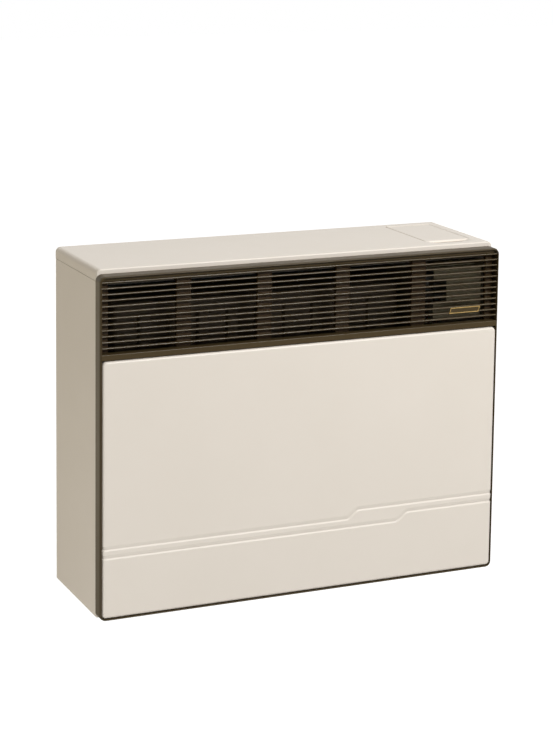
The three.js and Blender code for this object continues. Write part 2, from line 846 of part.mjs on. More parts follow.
// A stepped ring that holds the glass to the door.
function sightFrame() {
  const lip = 1.5;
  const whole = rod("y", glassX, glassHeight, glassFrameRadius, glassFront - fit - lip, glassBack);
  const seat = rod("y", glassX, glassHeight, glassRadius + fit, glassFront - fit, glassBack + 1);
  const view = rod("y", glassX, glassHeight, glassRadius - 4, glassFront - fit - lip - 1, glassBack + 1);
  return cut(whole, seat, view);
}

// The bright sheet between the exchanger and the front panel, with a hole in line with the sight glass.
function heatShield() {
  const left = chamberLeft + shieldInset;
  const right = chamberRight - shieldInset;
  const near = -shieldFront;
  const back = -chamberFront - fit;
  const plan = polygon([
    [left, near],
    [right, near],
    [right, back],
    [right - 1, back],
    [right - 1, near + 1],
    [left + 1, near + 1],
    [left + 1, back],
    [left, back],
  ]);
  const hole = rod("y", glassX, glassHeight, glassFrameRadius, near - 1, near + 3);
  return cut(extrude(plan, "z", shieldLow, shieldHigh), hole);
}

// ---------------------------------------------------------------- burner and pilot

// A drilled tube with a saw cut for each flame, closed at its left end and flared at its mouth.
function burnerTube() {
  const sides = 16;
  const tube = rod("x", burnerY, burnerHeight, burnerRadius, burnerLeft, burnerRight, { sides });
  const mouth = rod(
    "x", burnerY, burnerHeight, burnerRadius, burnerRight - 1, burnerRight + 16,
    { sides, endRadius: burnerRadius + 5 },
  );
  const bore = rod("x", burnerY, burnerHeight, burnerRadius - burnerWall, burnerLeft + 3, burnerRight + 20, { sides });
  const flare = rod(
    "x", burnerY, burnerHeight, burnerRadius - burnerWall, burnerRight, burnerRight + 17,
    { sides, endRadius: burnerRadius + 5 - burnerWall },
  );
  const pitch = (burnerRight - burnerLeft - 40) / (burnerSlots - 1);
  const slots = Array.from({ length: burnerSlots }, (_, i) => {
    const x = burnerLeft + 20 + i * pitch;
    return box(x - 1, x + 1, burnerY - 9, burnerY + 9, burnerHeight + burnerRadius - 4, burnerHeight + burnerRadius + 1);
  });
  return cut(join(tube, mouth), bore, flare, ...slots);
}

// A folded bracket that carries the burner tube in two saddles on the floor of the exchanger.
function burnerSupport() {
  const floor = chamberLow + chamberSheet + fit;
  const thickness = saddleSheet;
  const saddles = [burnerLeft + saddleInset, burnerRight - saddleReach].map((x) =>
    cut(
      box(x, x + thickness, burnerY - saddleHalfWidth, burnerY + saddleHalfWidth, floor, burnerHeight),
      rod("x", burnerY, burnerHeight, burnerRadius + fit, x - 1, x + thickness + 1, { sides: 16 }),
    ),
  );
  const footHalf = saddleHalfWidth + 5;
  const footEnd = burnerRight - saddleReach + 52;
  const foot = box(burnerLeft + saddleInset, footEnd, burnerY - footHalf, burnerY + footHalf, floor, floor + thickness);
  return join(foot, ...saddles);
}

const injectorX = burnerRight + 24;

// The brass jet that faces the burner's mouth: a hexagon with a tapered nose and a fine bore.
function injector() {
  const hexagon = rod("x", burnerY, burnerHeight, 8, injectorX, injectorX + 10, { sides: 6 });
  const nose = rod("x", burnerY, burnerHeight, 3.5, injectorX - 8, injectorX + 0.5, { sides: 12, endRadius: 6 });
  const bore = rod("x", burnerY, burnerHeight, 1, injectorX - 9, injectorX + 11, { sides: 8 });
  return cut(join(hexagon, nose), bore);
}

const pilotFromBurner = 65;
const pilotX = burnerRight - pilotFromBurner;
const pilotBracketHalf = 26;
const pilotBracketDepth = 8;
const pilotBracketSheet = 2;
const pilotStem = 4.5;
const pilotHood = 7;
const probeOffset = 18;
const pilotY = burnerY - burnerRadius - 14;
const pilotHeight = burnerHeight + 4;
const pilotStemLow = pilotHeight - 26;
const probeX = pilotX - probeOffset;
const electrodeX = pilotX + probeOffset;

// The pilot burner and the bracket that holds it, the thermocouple and the electrode in line.
function pilotBurner() {
  const floor = chamberLow + chamberSheet + fit + saddleSheet + fit;
  const bracketTop = pilotHeight - 6;
  const stem = rod("z", pilotX, pilotY, pilotStem, pilotStemLow, pilotHeight + 8, { sides: 12 });
  const hood = cut(
    rod("z", pilotX, pilotY, pilotHood, pilotHeight + 6, pilotHeight + 18, { sides: 12 }),
    box(pilotX - 8, pilotX + 8, pilotY, pilotY + 8, pilotHeight + 9, pilotHeight + 15),
  );
  const shelf = cut(
    box(
      pilotX - pilotBracketHalf, pilotX + pilotBracketHalf,
      pilotY - pilotBracketDepth, pilotY + pilotBracketDepth,
      bracketTop - pilotBracketSheet, bracketTop,
    ),
    rod("z", probeX, pilotY, probeRadius + fit, pilotHeight - 9, pilotHeight - 5, { sides: 12 }),
    rod("z", electrodeX, pilotY, electrodeRadius + fit, pilotHeight - 9, pilotHeight - 5, { sides: 12 }),
  );
  const legFront = pilotY - pilotBracketDepth;
  const leg = box(
    pilotX - pilotHood, pilotX + pilotHood,
    legFront, legFront + pilotBracketSheet, floor, bracketTop,
  );
  const foot = box(
    pilotX - pilotHood, pilotX + pilotHood,
    legFront, burnerY - 10, floor, floor + pilotBracketSheet,
  );
  return join(stem, hood, shelf, leg, foot);
}

const probeRadius = 2.5;
const electrodeRadius = 3.5;

function thermocouple() {
  const tip = { sides: 12, endRadius: probeRadius * 0.7 };
  const probe = rod("z", probeX, pilotY, probeRadius, pilotHeight - 22, pilotHeight + 22, tip);
  const [endX, endY] = valveProbe;
  const { y, z } = runs.thermocouple;
  const lead = pipe(
    [
      [probeX, pilotY, pilotHeight - 20],
      [probeX, pilotY, z],
      [probeX, y, z],
      [endX, y, z],
      [endX, y, valveLow - 70],
      [endX, endY, valveLow - 14],
      [endX, endY, valveLow - fit],
    ],
    leadRadius, 4.4, 6,
  );
  return join(probe, lead);
}

const leadRadius = 1.6;

// The ceramic electrode that sparks beside the pilot, with its wire back to the igniter.
function sparkElectrode() {
  const insulator = rod("z", electrodeX, pilotY, electrodeRadius, pilotStemLow, pilotHeight + 12, { sides: 12 });
  const wire = rod("z", electrodeX, pilotY, 1, pilotHeight + 11, pilotHeight + 20, { sides: 8 });
  return join(insulator, wire);
}

function ignitionLead() {
  const { y, z } = runs.ignition;
  return pipe(
    [
      [electrodeX, pilotY, pilotStemLow - fit],
      [electrodeX, y, z],
      [controlX, y, z],
      [controlX, igniterY, z + 60],
      [controlX, igniterY, igniterLow - fit],
    ],
    leadRadius, 10, 6,
  );
}

// ---------------------------------------------------------------- gas line

const valveHigh = shelfUnder - fit;
const valveHeight = 74;
const valveLow = valveHigh - valveHeight;
const valveUnion = 12; // how far its unions stand down
const valveTower = 24;
const towerRadius = 17;
const magnetRadius = 11;
const magnetLength = 16;
const spindleDepth = 20;
const valveHalfWidth = 30;
const valveHalfDepth = 33;
const valveInlet = [controlX + 16, knobY + 8];
const valveOutlet = [controlX - 14, knobY + 8];
const valveProbe = [controlX - 6, knobY + 24];
const valvePilot = [controlX + 2, knobY - 16];

// Where each level run passes the partition and the exchanger's wall: its distance from the wall, and height.
const runs = {
  burner: { y: burnerY, z: burnerHeight, radius: burnerPipeRadius },
  pilot: { y: pilotY + 9, z: pilotStemLow - 8, radius: pilotPipeRadius },
  thermocouple: { y: pilotY - 11, z: pilotStemLow - 10, radius: leadRadius },
  ignition: { y: pilotY, z: pilotStemLow - 22, radius: leadRadius },
};
const inletLow = 6;
const inletFromSide = 44;
const inletX = caseWidth / 2 - inletFromSide;
const inletFromWall = 70;
const inletY = -inletFromWall;

function pipeHoles(x0, x1) {
  return Object.values(runs).map(({ y, z, radius }) => rod("x", y, z, radius + 2 * fit, x0, x1, { sides: 12 }));
}

// The cast body of the gas tap: a round tower for the spindle, a safety magnet housing and three unions.
function gasValve() {
  const bodyLow = valveLow + valveUnion;
  const plan = roundedRect(
    controlX - valveHalfWidth, controlX + valveHalfWidth,
    knobY - valveHalfDepth, knobY + valveHalfDepth, 7,
  );
  const body = extrude(plan, "z", bodyLow, valveHigh - valveTower + 2, { round: 2, arc: 3, steps: 2 });
  const tower = rod("z", controlX, knobY, towerRadius, valveHigh - valveTower, valveHigh, { endRadius: towerRadius - 2 });
  const ears = extrude(
    roundedRect(controlX - 26, controlX + 26, knobY - 8, knobY + 8, 6),
    "z", valveHigh - 4, valveHigh, { arc: 3 },
  );
  const magnet = rod(
    "y", controlX - 12, bodyLow + 2 * magnetRadius, magnetRadius,
    knobY - valveHalfDepth - magnetLength, knobY - valveHalfDepth + 4, { sides: 20 },
  );
  const unions = [
    [valveInlet, 11],
    [valveOutlet, 9],
    [valveProbe, 5],
    [valvePilot, 5],
  ].map(([[x, y], radius]) => rod("z", x, y, radius, valveLow, bodyLow + 3, { sides: 6 }));
  const bore = rod("z", controlX, knobY, spindleRadius + shaftFit, valveHigh - spindleDepth, valveHigh + 1, { sides: 16 });
  return cut(join(body, tower, ears, magnet, ...unions), bore);
}

// The spindle, with a flat along its upper end that carries the knob round with it.
function valveSpindle() {
  const top = shelfHeight + knobLift + knobHeight - knobRoof - knobTravel - 2;
  const low = valveHigh - spindleDepth + fit;
  const shaft = rod("z", controlX, knobY, spindleRadius, low, top, { sides: 16 });
  return cut(shaft, spindleFlat(0, top + 1));
}

function spindleFlat(clearance, high) {
  const face = knobY + spindleRadius * 0.55 + clearance;
  const low = shelfHeight + knobLift - knobTravel - shaftFit;
  return box(controlX - 10, controlX + 10, face, knobY + 10, low, high);
}

// The knob: a broad skirt for its numbers and a fluted grip, with a bore for the spindle.
function controlKnob() {
  const low = shelfHeight + knobLift;
  const high = low + knobHeight;
  const skirtHeight = 6;
  const skirt = rod("z", controlX, knobY, knobSkirtRadius, low, low + skirtHeight, { sides: 32, endRadius: knobSkirtRadius - 2 });
  const steps = knobFlutes * 4;
  const outline = polygon(
    Array.from({ length: steps }, (_, i) => {
      const angle = (i / steps) * 2 * Math.PI;
      const radius = knobGripRadius - 0.8 * (1 + Math.cos(angle * knobFlutes));
      return [controlX + radius * Math.cos(angle), knobY + radius * Math.sin(angle)];
    }),
  );
  const grip = extrude(outline, "z", low + skirtHeight - 2, high, { round: 1.5, steps: 2 });
  const boreHigh = high - knobRoof;
  const bore = rod("z", controlX, knobY, spindleRadius + shaftFit, low - 1, boreHigh, { sides: 16 });
  const hollow = ring("z", controlX, knobY, knobGripRadius - 4, spindleRadius + 3, low - 1, boreHigh - 4);
  return cut(join(skirt, grip), cut(bore, spindleFlat(shaftFit, high)), hollow);
}

// The folded bracket over the control space: an upright plate behind the grille and a level shelf.
function controlBracket() {
  const front = -controlsFront;
  const left = bracketRight - bracketWidth;
  const [notchReach, notchHeight, notchDrop] = bracketNotch;
  const notchHigh = shelfHeight - notchDrop;
  const notchLow = notchHigh - notchHeight;
  const upright = cut(
    box(left, bracketRight, front, front + sheet, bracketLow, shelfHeight),
    box(left - 1, left + notchReach, front - 1, front + sheet + 1, notchLow, notchHigh),
  );
  const shelfLeft = partitionX + sheet + fit;
  const shelfRight = sideInside - fit;
  const shelf = join(
    box(left, bracketRight, front, front + 2 * sheet, shelfUnder, shelfHeight),
    box(shelfLeft, shelfRight, front + sheet + fit, -24, shelfUnder, shelfHeight),
    box(shelfLeft, shelfLeft + sheet, front + 20, -34, shelfHeight - 20, shelfHeight),
    box(shelfRight - sheet, shelfRight, front + 20, -34, shelfHeight - 20, shelfHeight),
  );
  return cut(
    join(upright, shelf),
    rod("z", controlX, knobY, spindleRadius + 3, shelfUnder - 1, shelfHeight + 1, { sides: 20 }),
    rod("z", controlX, igniterY, igniterNeck + fit, shelfUnder - 1, shelfHeight + 1, { sides: 20 }),
  );
}

const igniterNeck = 8;
const igniterHeight = 42;
const igniterLow = shelfUnder - fit - igniterHeight;
const neckRise = 6;
const igniterNeckHigh = shelfHeight + neckRise;
const nutThickness = 4;

// The barrel of the spark igniter, its threaded neck standing through the shelf.
function igniterBody() {
  const barrel = rod("z", controlX, igniterY, igniterRadius + 2, igniterLow, shelfUnder - fit, { sides: 20 });
  const neck = rod("z", controlX, igniterY, igniterNeck, shelfUnder - 1, igniterNeckHigh, { sides: 20 });
  const bore = rod("z", controlX, igniterY, igniterButtonRadius + shaftFit, igniterLow + 14, igniterNeckHigh + 1, { sides: 20 });
  return cut(join(barrel, neck), bore);
}

function igniterNut() {
  return cut(
    rod("z", controlX, igniterY, igniterNeck + 5, shelfHeight + fit, shelfHeight + fit + nutThickness, { sides: 6 }),
    rod("z", controlX, igniterY, igniterNeck + fit, shelfHeight, shelfHeight + fit + nutThickness + 1, { sides: 20 }),
  );
}

// The push button, domed on top.
function igniterButton() {
  const low = igniterLow + 24;
  const high = igniterNeckHigh + 9;
  const points = [
    [0, low],
    [igniterButtonRadius, low],
    [igniterButtonRadius, high - 2],
    [igniterButtonRadius * 0.85, high - 0.8],
    [igniterButtonRadius * 0.5, high - 0.2],
    [0, high],
  ].map(([radius, z]) => new THREE.Vector2(radius, z));
  const geometry = new THREE.LatheGeometry(points, 20).rotateX(Math.PI / 2);
  return solid(geometry.translate(controlX, igniterY, 0));
}

// The gas inlet: a hexagon over a threaded tail that stands down through its bracket.
function gasInlet() {
  const seat = inletLow + inletSeat;
  const high = inletLow + inletTop;
  const tail = rod("z", inletX, inletY, inletTail, inletLow, seat + 3, { sides: 20 });
  const hexagon = rod("z", inletX, inletY, inletHexagon, seat + sheet + fit, high, { sides: 6 });
  const bore = rod("z", inletX, inletY, inletBore, inletLow - 1, high - 4, { sides: 16 });
  return cut(join(tail, hexagon), bore);
}

// The bracket on the back plate that holds the gas inlet.
function inletBracket() {
  const seat = inletLow + inletSeat;
  const left = inletX - 2 * inletTail;
  const right = inletX + 2 * inletTail;
  const shape = join(
    box(left, right, inletY - 2 * inletTail, bodyBack, seat, seat + sheet),
    box(left, right, bodyBack - sheet, bodyBack, seat, seat + 24),
  );
  return cut(shape, rod("z", inletX, inletY, inletTail + fit, seat - 1, seat + sheet + 1, { sides: 20 }));
}

const supplyRise = 110;
const supplyDrop = 150;
const supplyBend = 24;

function supplyPipe() {
  const low = inletLow + inletTop + fit;
  return pipe(
    [
      [inletX, inletY, low],
      [inletX, inletY, low + supplyRise],
      [valveInlet[0], valveInlet[1], valveLow - supplyDrop],
      [valveInlet[0], valveInlet[1], valveLow - fit],
    ],
    supplyRadius, supplyBend,
  );
}

function burnerPipe() {
  return pipe(
    [
      [valveOutlet[0], valveOutlet[1], valveLow - fit],
      [valveOutlet[0], burnerY, burnerHeight],
      [injectorX + 10 + fit, burnerY, burnerHeight],
    ],
    burnerPipeRadius, 26,
  );
}

const pilotDrop = 60;

function pilotPipe() {
  const [startX, startY] = valvePilot;
  const { y, z } = runs.pilot;
  return pipe(
    [
      [startX, startY, valveLow - fit],
      [startX, startY, valveLow - pilotDrop],
      [startX, y, valveLow - 2 * pilotDrop],
      [startX, y, z],
      [pilotX, y, z],
      [pilotX, pilotY, z],
      [pilotX, pilotY, pilotStemLow - fit],
    ],
    pilotPipeRadius, 4.4, 6,
  );
}

// ---------------------------------------------------------------- flue

const airBoxReach = 90;
const airBoxLow = 80;
const airBoxAbove = 90; // the middle of the flue
const airBoxHigh = flueHeight + airBoxAbove;
const airBoxCorner = 6;

// The box behind the exchanger that leads fresh air from the outer duct down to the burner.
function airBox() {
  const near = fit - chamberBack;
  const wall = bodyBack;
  const outer = extrude(roundedRect(-airBoxReach, airBoxReach, airBoxLow, airBoxHigh, airBoxCorner), "y", near, wall, { arc: 3 });
  const inner = extrude(
    roundedRect(sheet - airBoxReach, airBoxReach - sheet, airBoxLow + sheet, airBoxHigh - sheet, airBoxCorner - sheet),
    "y", near - 1, wall - sheet, { arc: 3 },
  );
  return cut(outer, inner, rod("y", 0, flueHeight, airRadius + fit, wall - sheet - 1, wall + 1, { sides: 32 }));
}

// The outer duct, flanged inside the air box, that draws fresh air through the wall.
function airDuct() {
  const seat = bodyBack - sheet - fit;
  const collar = ring("y", 0, flueHeight, airRadius + collarWidth, airRadius - ductWall, seat - sheet, seat, { sides: 32 });
  const tube = ring("y", 0, flueHeight, airRadius, airRadius - ductWall, seat - sheet, airReach, { sides: 32 });
  return join(tube, collar);
}

const exhaustGasketFront = fit - chamberBack;

function exhaustGasket() {
  return ring(
    "y", 0, flueHeight, exhaustRadius + collarWidth, exhaustRadius - ductWall,
    exhaustGasketFront, exhaustGasketFront + gasketThickness, { sides: 32 },
  );
}

// The inner duct, flanged against the exchanger, that carries the burnt gas out.
function exhaustDuct() {
  const seat = exhaustGasketFront + gasketThickness + fit;
  const collar = ring("y", 0, flueHeight, exhaustRadius + collarWidth, exhaustRadius - ductWall, seat, seat + ductWall, { sides: 32 });
  const tube = ring("y", 0, flueHeight, exhaustRadius, exhaustRadius - ductWall, seat, exhaustReach, { sides: 32 });
  return join(tube, collar);
}

// ---------------------------------------------------------------- assembly

function group(...meshes) {
  return new THREE.Group().add(...meshes);
}

function mirrored(mesh) {
  mesh.scale.x = -1;
  return mesh;
}

const casing = group(
  part("front_frame", frontFrame(), brownEnamel),
  part("grille", grille(), brownEnamel),
  part("badge_bar", badgeBar(), goldTrim),
  part("front_panel", frontPanel(), creamEnamel),
  part("side_panel_left", sidePanel(), creamEnamel),
  mirrored(part("side_panel_right", sidePanel(), creamEnamel)),
  part("top_lid", topLid(), creamEnamel),
  part("control_flap", controlFlap(), creamEnamel),
  part("flap_hinge_pin", flapHingePin(), plainSteel),
  part("panel_clip_right", panelClip(), plainSteel),
  mirrored(part("panel_clip_left", panelClip(), plainSteel)),
  ...screwPlaces.map(([x, z], i) => part("frame_screw_" + (i + 1), frameScrew(x, z), plainSteel)),
);

const structure = group(
  part("back_plate", backPlate(), galvanised),
  part("partition", partition(), galvanised),
  part("bottom_rail", bottomRail(), galvanised),
  part("air_deflector", airDeflector(), galvanised),
  part("control_bracket", controlBracket(), brownEnamel),
  part("inlet_bracket", inletBracket(), galvanised),
);

const exchanger = group(
  part("heat_exchanger", heatExchanger(), blackEnamel),
  part("burner_door_gasket", burnerDoorGasket(), fibre),
  part("burner_door", burnerDoor(), blackEnamel),
  part("sight_glass", sightGlassDisc(), sightGlass),
  part("sight_frame", sightFrame(), plainSteel),
  part("heat_shield", heatShield(), galvanised),
  part("air_box", airBox(), galvanised),
  part("air_duct", airDuct(), castAluminium),
  part("exhaust_gasket", exhaustGasket(), fibre),
  part("exhaust_duct", exhaustDuct(), castAluminium),
);

const burner = group(
  part("burner_tube", burnerTube(), plainSteel),
  part("burner_support", burnerSupport(), plainSteel),
  part("injector", injector(), brass),
  part("pilot_burner", pilotBurner(), brass),
  part("thermocouple", thermocouple(), copper),
  part("spark_electrode", sparkElectrode(), ceramic),
  part("ignition_lead", ignitionLead(), blackPlastic),
);

const controls = group(
  part("gas_valve", gasValve(), castAluminium),
  part("valve_spindle", valveSpindle(), brass),
  part("control_knob", controlKnob(), blackPlastic),
  part("igniter_body", igniterBody(), blackPlastic),
  part("igniter_nut", igniterNut(), plainSteel),
  part("igniter_button", igniterButton(), redPlastic),
  part("gas_inlet", gasInlet(), brass),
  part("supply_pipe", supplyPipe(), copper),
  part("burner_pipe", burnerPipe(), copper),
  part("pilot_pipe", pilotPipe(), copper),
);

const heater = group(casing, structure, exchanger, burner, controls);
heater.position.z = -fixingHeight;

export default heater;
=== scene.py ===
# A wall mounted gas convector heater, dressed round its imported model.
# Metres in the scene; the sizes below are in millimetres, as on a sheet metal worker's drawing.

import math

import bmesh
import bpy
from mathutils import Matrix, Vector


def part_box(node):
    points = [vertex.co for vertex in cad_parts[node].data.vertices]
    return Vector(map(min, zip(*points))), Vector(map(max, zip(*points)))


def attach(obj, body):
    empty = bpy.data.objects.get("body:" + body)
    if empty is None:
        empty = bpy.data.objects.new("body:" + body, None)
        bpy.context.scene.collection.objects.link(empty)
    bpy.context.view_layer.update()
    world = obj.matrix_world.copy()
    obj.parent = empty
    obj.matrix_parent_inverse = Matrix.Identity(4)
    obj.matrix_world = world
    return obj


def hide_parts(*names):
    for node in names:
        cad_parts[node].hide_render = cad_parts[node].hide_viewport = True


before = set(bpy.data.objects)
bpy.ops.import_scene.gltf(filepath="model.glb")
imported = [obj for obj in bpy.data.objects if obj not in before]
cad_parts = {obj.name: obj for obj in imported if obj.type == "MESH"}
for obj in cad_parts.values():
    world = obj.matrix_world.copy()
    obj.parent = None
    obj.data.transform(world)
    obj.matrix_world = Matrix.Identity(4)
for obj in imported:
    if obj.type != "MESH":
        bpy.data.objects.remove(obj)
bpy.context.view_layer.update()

# ---------------------------------------------------------------- camera
# The camera stands to the left of the heater and a little above it. Its long lens is shifted down, so the
# heater's uprights stay nearly parallel.

camera = bpy.data.objects.new("camera", bpy.data.cameras.new("camera"))
bpy.context.scene.collection.objects.link(camera)
bpy.context.scene.camera = camera
tripod = (-1.4787, -3.3987, 1.1995)
yaw, pitch, roll = 0.4217, 0.1431, 0.0128
ahead = Vector((math.sin(yaw) * math.cos(pitch), math.cos(yaw) * math.cos(pitch), -math.sin(pitch)))
level_right = Vector((math.cos(yaw), -math.sin(yaw), 0))
level_up = level_right.cross(ahead)
right = level_right * math.cos(roll) + level_up * math.sin(roll)
up = level_up * math.cos(roll) - level_right * math.sin(roll)
camera.matrix_world = Matrix.Translation(tripod) @ Matrix((right, up, -ahead)).transposed().to_4x4()
camera.data.sensor_width = 36
camera.data.lens = 100.4
camera.data.shift_y = -0.2909
camera.data.clip_end = 50
bpy.context.scene.view_settings.view_transform = "Standard"

# ---------------------------------------------------------------- white studio
# A white sweep with a broad soft lamp high to the right of the camera, weak fills from the left, from low
# down and from above, and a cream wall on the left. The camera's side is darker than the far side, so the
# heater's front mirrors less than its flanks and its top do.


def linear(code):
    """The linear light of an sRGB hex colour."""
    parts = [int(code[i : i + 2], 16) / 255 for i in (1, 3, 5)]
    return [p / 12.92 if p <= 0.04045 else ((p + 0.055) / 1.055) ** 2.4 for p in parts] + [1]


def add(tree, kind, settings=(), links=()):
    """Adds one shader node: settings go to its own properties or its sockets, links come from other nodes."""
    node = tree.nodes.new(kind)
    for key, value in dict(settings).items():
        if isinstance(key, str) and key in node.bl_rna.properties:
            setattr(node, key, value)
        else:
            node.inputs[key].default_value = value
    for key, source in dict(links).items():
        tree.links.new(source, node.inputs[key])
    return node


white, cream_wall = linear("#ffffff"), linear("#fff3da")
dim_side, bright_side = 0.14, 0.86
matt_share = 0.66
world = bpy.data.worlds.new("white_studio")
bpy.context.scene.world = world
world.use_nodes = True
sky = world.node_tree
sky.nodes.clear()
rays = add(sky, "ShaderNodeLightPath")
towards = add(sky, "ShaderNodeSeparateXYZ", links={0: add(sky, "ShaderNodeTexCoord").outputs["Generated"]})
behind = add(
    sky,
    "ShaderNodeMapRange",
    {"From Min": -0.75, "From Max": 0.2, "To Min": dim_side, "To Max": bright_side},
    {"Value": towards.outputs["Y"]},
)
leftwards = add(sky, "ShaderNodeMapRange", {"From Max": -0.8}, {"Value": towards.outputs["X"]})
walls = add(sky, "ShaderNodeMix", {"data_type": "RGBA", 6: white, 7: cream_wall}, {0: leftwards.outputs[0]})
tint = add(
    sky,
    "ShaderNodeMix",
    {"data_type": "RGBA", 7: white},
    {0: rays.outputs["Is Camera Ray"], 6: walls.outputs[2]},
)
for_matt = add(sky, "ShaderNodeMath", {"operation": "MULTIPLY", 1: matt_share}, {0: behind.outputs[0]})
polished = add(
    sky,
    "ShaderNodeMath",
    {"operation": "MAXIMUM"},
    {0: rays.outputs["Is Glossy Ray"], 1: rays.outputs["Is Transmission Ray"]},
)
seen_in_gloss = add(
    sky, "ShaderNodeMix", {}, {"Factor": polished.outputs[0], 2: for_matt.outputs[0], 3: behind.outputs[0]}
)
seen = add(
    sky, "ShaderNodeMix", {3: 1.0}, {"Factor": rays.outputs["Is Camera Ray"], 2: seen_in_gloss.outputs[0]}
)
backdrop = add(sky, "ShaderNodeBackground", {}, {"Color": tint.outputs[2], "Strength": seen.outputs[0]})
add(sky, "ShaderNodeOutputWorld", links={"Surface": backdrop.outputs[0]})


heater_middle = Vector((0, -0.12, 0.23))


def softbox(name, place, size, watts, colour):
    """A square lamp that looks at the middle of the heater."""
    lamp = bpy.data.lights.new(name, "AREA")
    lamp.size = size
    lamp.energy = watts
    lamp.color = linear(colour)[:3]
    stand = bpy.data.objects.new(name, lamp)
    bpy.context.scene.collection.objects.link(stand)
    stand.location = place
    stand.rotation_euler = (heater_middle - Vector(place)).to_track_quat("-Z", "Y").to_euler()


softbox("key_lamp", (1.5, -3.6, 2.9), 1.5, 212, "#ffffff")
softbox("left_fill", (-3.0, -0.9, 1.1), 1.2, 7, "#fff4e0")
softbox("table_fill", (-0.95, -0.4, -0.42), 0.5, 2.4, "#ffffff")
softbox("top_fill", (-0.3, 0.5, 2.4), 1.0, 2.2, "#ffffff")

# A white vinyl sheet: a matt white that the camera sees burnt out, as a plain white ground. Its far end
# gleams in the enamel as a warm light.
floor_low, reach = -0.5, 15
corners = [(-reach, -reach), (reach, -reach), (reach, reach), (-reach, reach)]
floor_mesh = bpy.data.meshes.new("floor")
floor_mesh.from_pydata([(x, y, floor_low) for x, y in corners], [], [(0, 1, 2, 3)])
studio_floor = bpy.data.objects.new("floor", floor_mesh)
bpy.context.scene.collection.objects.link(studio_floor)
vinyl = bpy.data.materials.new("white_vinyl_floor")
vinyl.use_nodes = True
tree = vinyl.node_tree
tree.nodes.clear()
looked_at = add(tree, "ShaderNodeLightPath")
paint = add(tree, "ShaderNodeBsdfDiffuse", {"Color": linear("#b4b4b3")})
burnt_out, far_gleam, far_end = 0.85, 0.65, 2.0
lift = add(
    tree, "ShaderNodeMath", {"operation": "MULTIPLY", 1: burnt_out}, {0: looked_at.outputs["Is Camera Ray"]}
)
spot = add(tree, "ShaderNodeSeparateXYZ", links={0: add(tree, "ShaderNodeTexCoord").outputs["Object"]})
far_range = {"From Max": far_end, "To Max": far_gleam}
far_off = add(tree, "ShaderNodeMapRange", far_range, {"Value": spot.outputs["Y"]})
mirrored = add(
    tree,
    "ShaderNodeMath",
    {"operation": "MULTIPLY"},
    {0: looked_at.outputs["Is Glossy Ray"], 1: far_off.outputs[0]},
)
glow = add(tree, "ShaderNodeEmission", {"Color": white}, {"Strength": lift.outputs[0]})
gleam = add(tree, "ShaderNodeEmission", {"Color": linear("#fff0d0")}, {"Strength": mirrored.outputs[0]})
lights = add(tree, "ShaderNodeAddShader", links={0: glow.outputs[0], 1: gleam.outputs[0]})
both = add(tree, "ShaderNodeAddShader", links={0: paint.outputs[0], 1: lights.outputs[0]})
add(tree, "ShaderNodeOutputMaterial", links={"Surface": both.outputs[0]})
floor_mesh.materials.append(vinyl)

# ---------------------------------------------------------------- back plate and folded sheets
# The back plate is screwed to the wall. Like the bottom rail, the air deflector and the inlet bracket, it is
# cut and folded from hot-dip galvanised steel sheet.

MM = 0.001


def surface(name, settings):
    """A new material with its principled shader and its object coordinates."""
    material = bpy.data.materials.new(name)
    material.use_nodes = True
    nodes = material.node_tree
    nodes.nodes.clear()
    shader = add(nodes, "ShaderNodeBsdfPrincipled", settings)
    add(nodes, "ShaderNodeOutputMaterial", links={"Surface": shader.outputs[0]})
    place = add(nodes, "ShaderNodeTexCoord").outputs["Object"]
    return material, nodes, shader, place


def per_mm(size):
    """The texture scale that gives a pattern of this size in millimetres."""
    return 1 / (size * MM)


# Hot-dip galvanised steel: the zinc has frozen into leaf-like spangles some 10 mm across, each with its own
# tone and sheen, under a haze of white oxide.
galvanised, tree, shader, place = surface("galvanised_steel", {"Metallic": 1.0})
spangle = add(tree, "ShaderNodeTexVoronoi", {"Scale": per_mm(11), "Randomness": 1.0}, {"Vector": place})
leaf = add(tree, "ShaderNodeSeparateColor", links={0: spangle.outputs["Color"]})
feather = add(tree, "ShaderNodeTexNoise", {"Scale": per_mm(2.5), "Detail": 4.0}, {"Vector": place})
haze = add(tree, "ShaderNodeTexNoise", {"Scale": per_mm(90), "Detail": 5.0}, {"Vector": place})
leaf_tones = {"data_type": "RGBA", 6: linear("#8f9396"), 7: linear("#b6b9ba")}
tone = add(tree, "ShaderNodeMix", leaf_tones, {0: leaf.outputs[0]})
haze_range = {"From Min": 0.5, "From Max": 0.75, "To Max": 0.45}
oxide = add(tree, "ShaderNodeMapRange", haze_range, {0: haze.outputs[0]})
hazy = {"data_type": "RGBA", 7: linear("#a5a6a4")}
coat = add(tree, "ShaderNodeMix", hazy, {0: oxide.outputs[0], 6: tone.outputs[2]})
tree.links.new(coat.outputs[2], shader.inputs["Base Color"])
sheen = add(tree, "ShaderNodeMapRange", {"To Min": 0.34, "To Max": 0.52}, {0: leaf.outputs[1]})
tree.links.new(sheen.outputs[0], shader.inputs["Roughness"])
relief = add(tree, "ShaderNodeBump", {"Strength": 0.25, "Distance": 0.05 * MM}, {"Height": feather.outputs[0]})
tree.links.new(relief.outputs[0], shader.inputs["Normal"])


def dress(names, material, body="case", edge=0.35, sharp=32):
    """Redraws CAD nodes with eased edges and smooth curves, in the same places, and stands them in."""
    for name in names:
        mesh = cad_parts[name].data.copy()
        mesh.name = name + "_dressed"
        work = bmesh.new()
        work.from_mesh(mesh)
        bmesh.ops.remove_doubles(work, verts=work.verts, dist=0.002 * MM)
        bmesh.ops.dissolve_limit(work, angle_limit=math.radians(0.4), verts=work.verts, edges=work.edges)
        bmesh.ops.recalc_face_normals(work, faces=work.faces)
        work.to_mesh(mesh)
        work.free()
        finish(name + "_dressed", mesh, material, body, [name], sharp, edge)


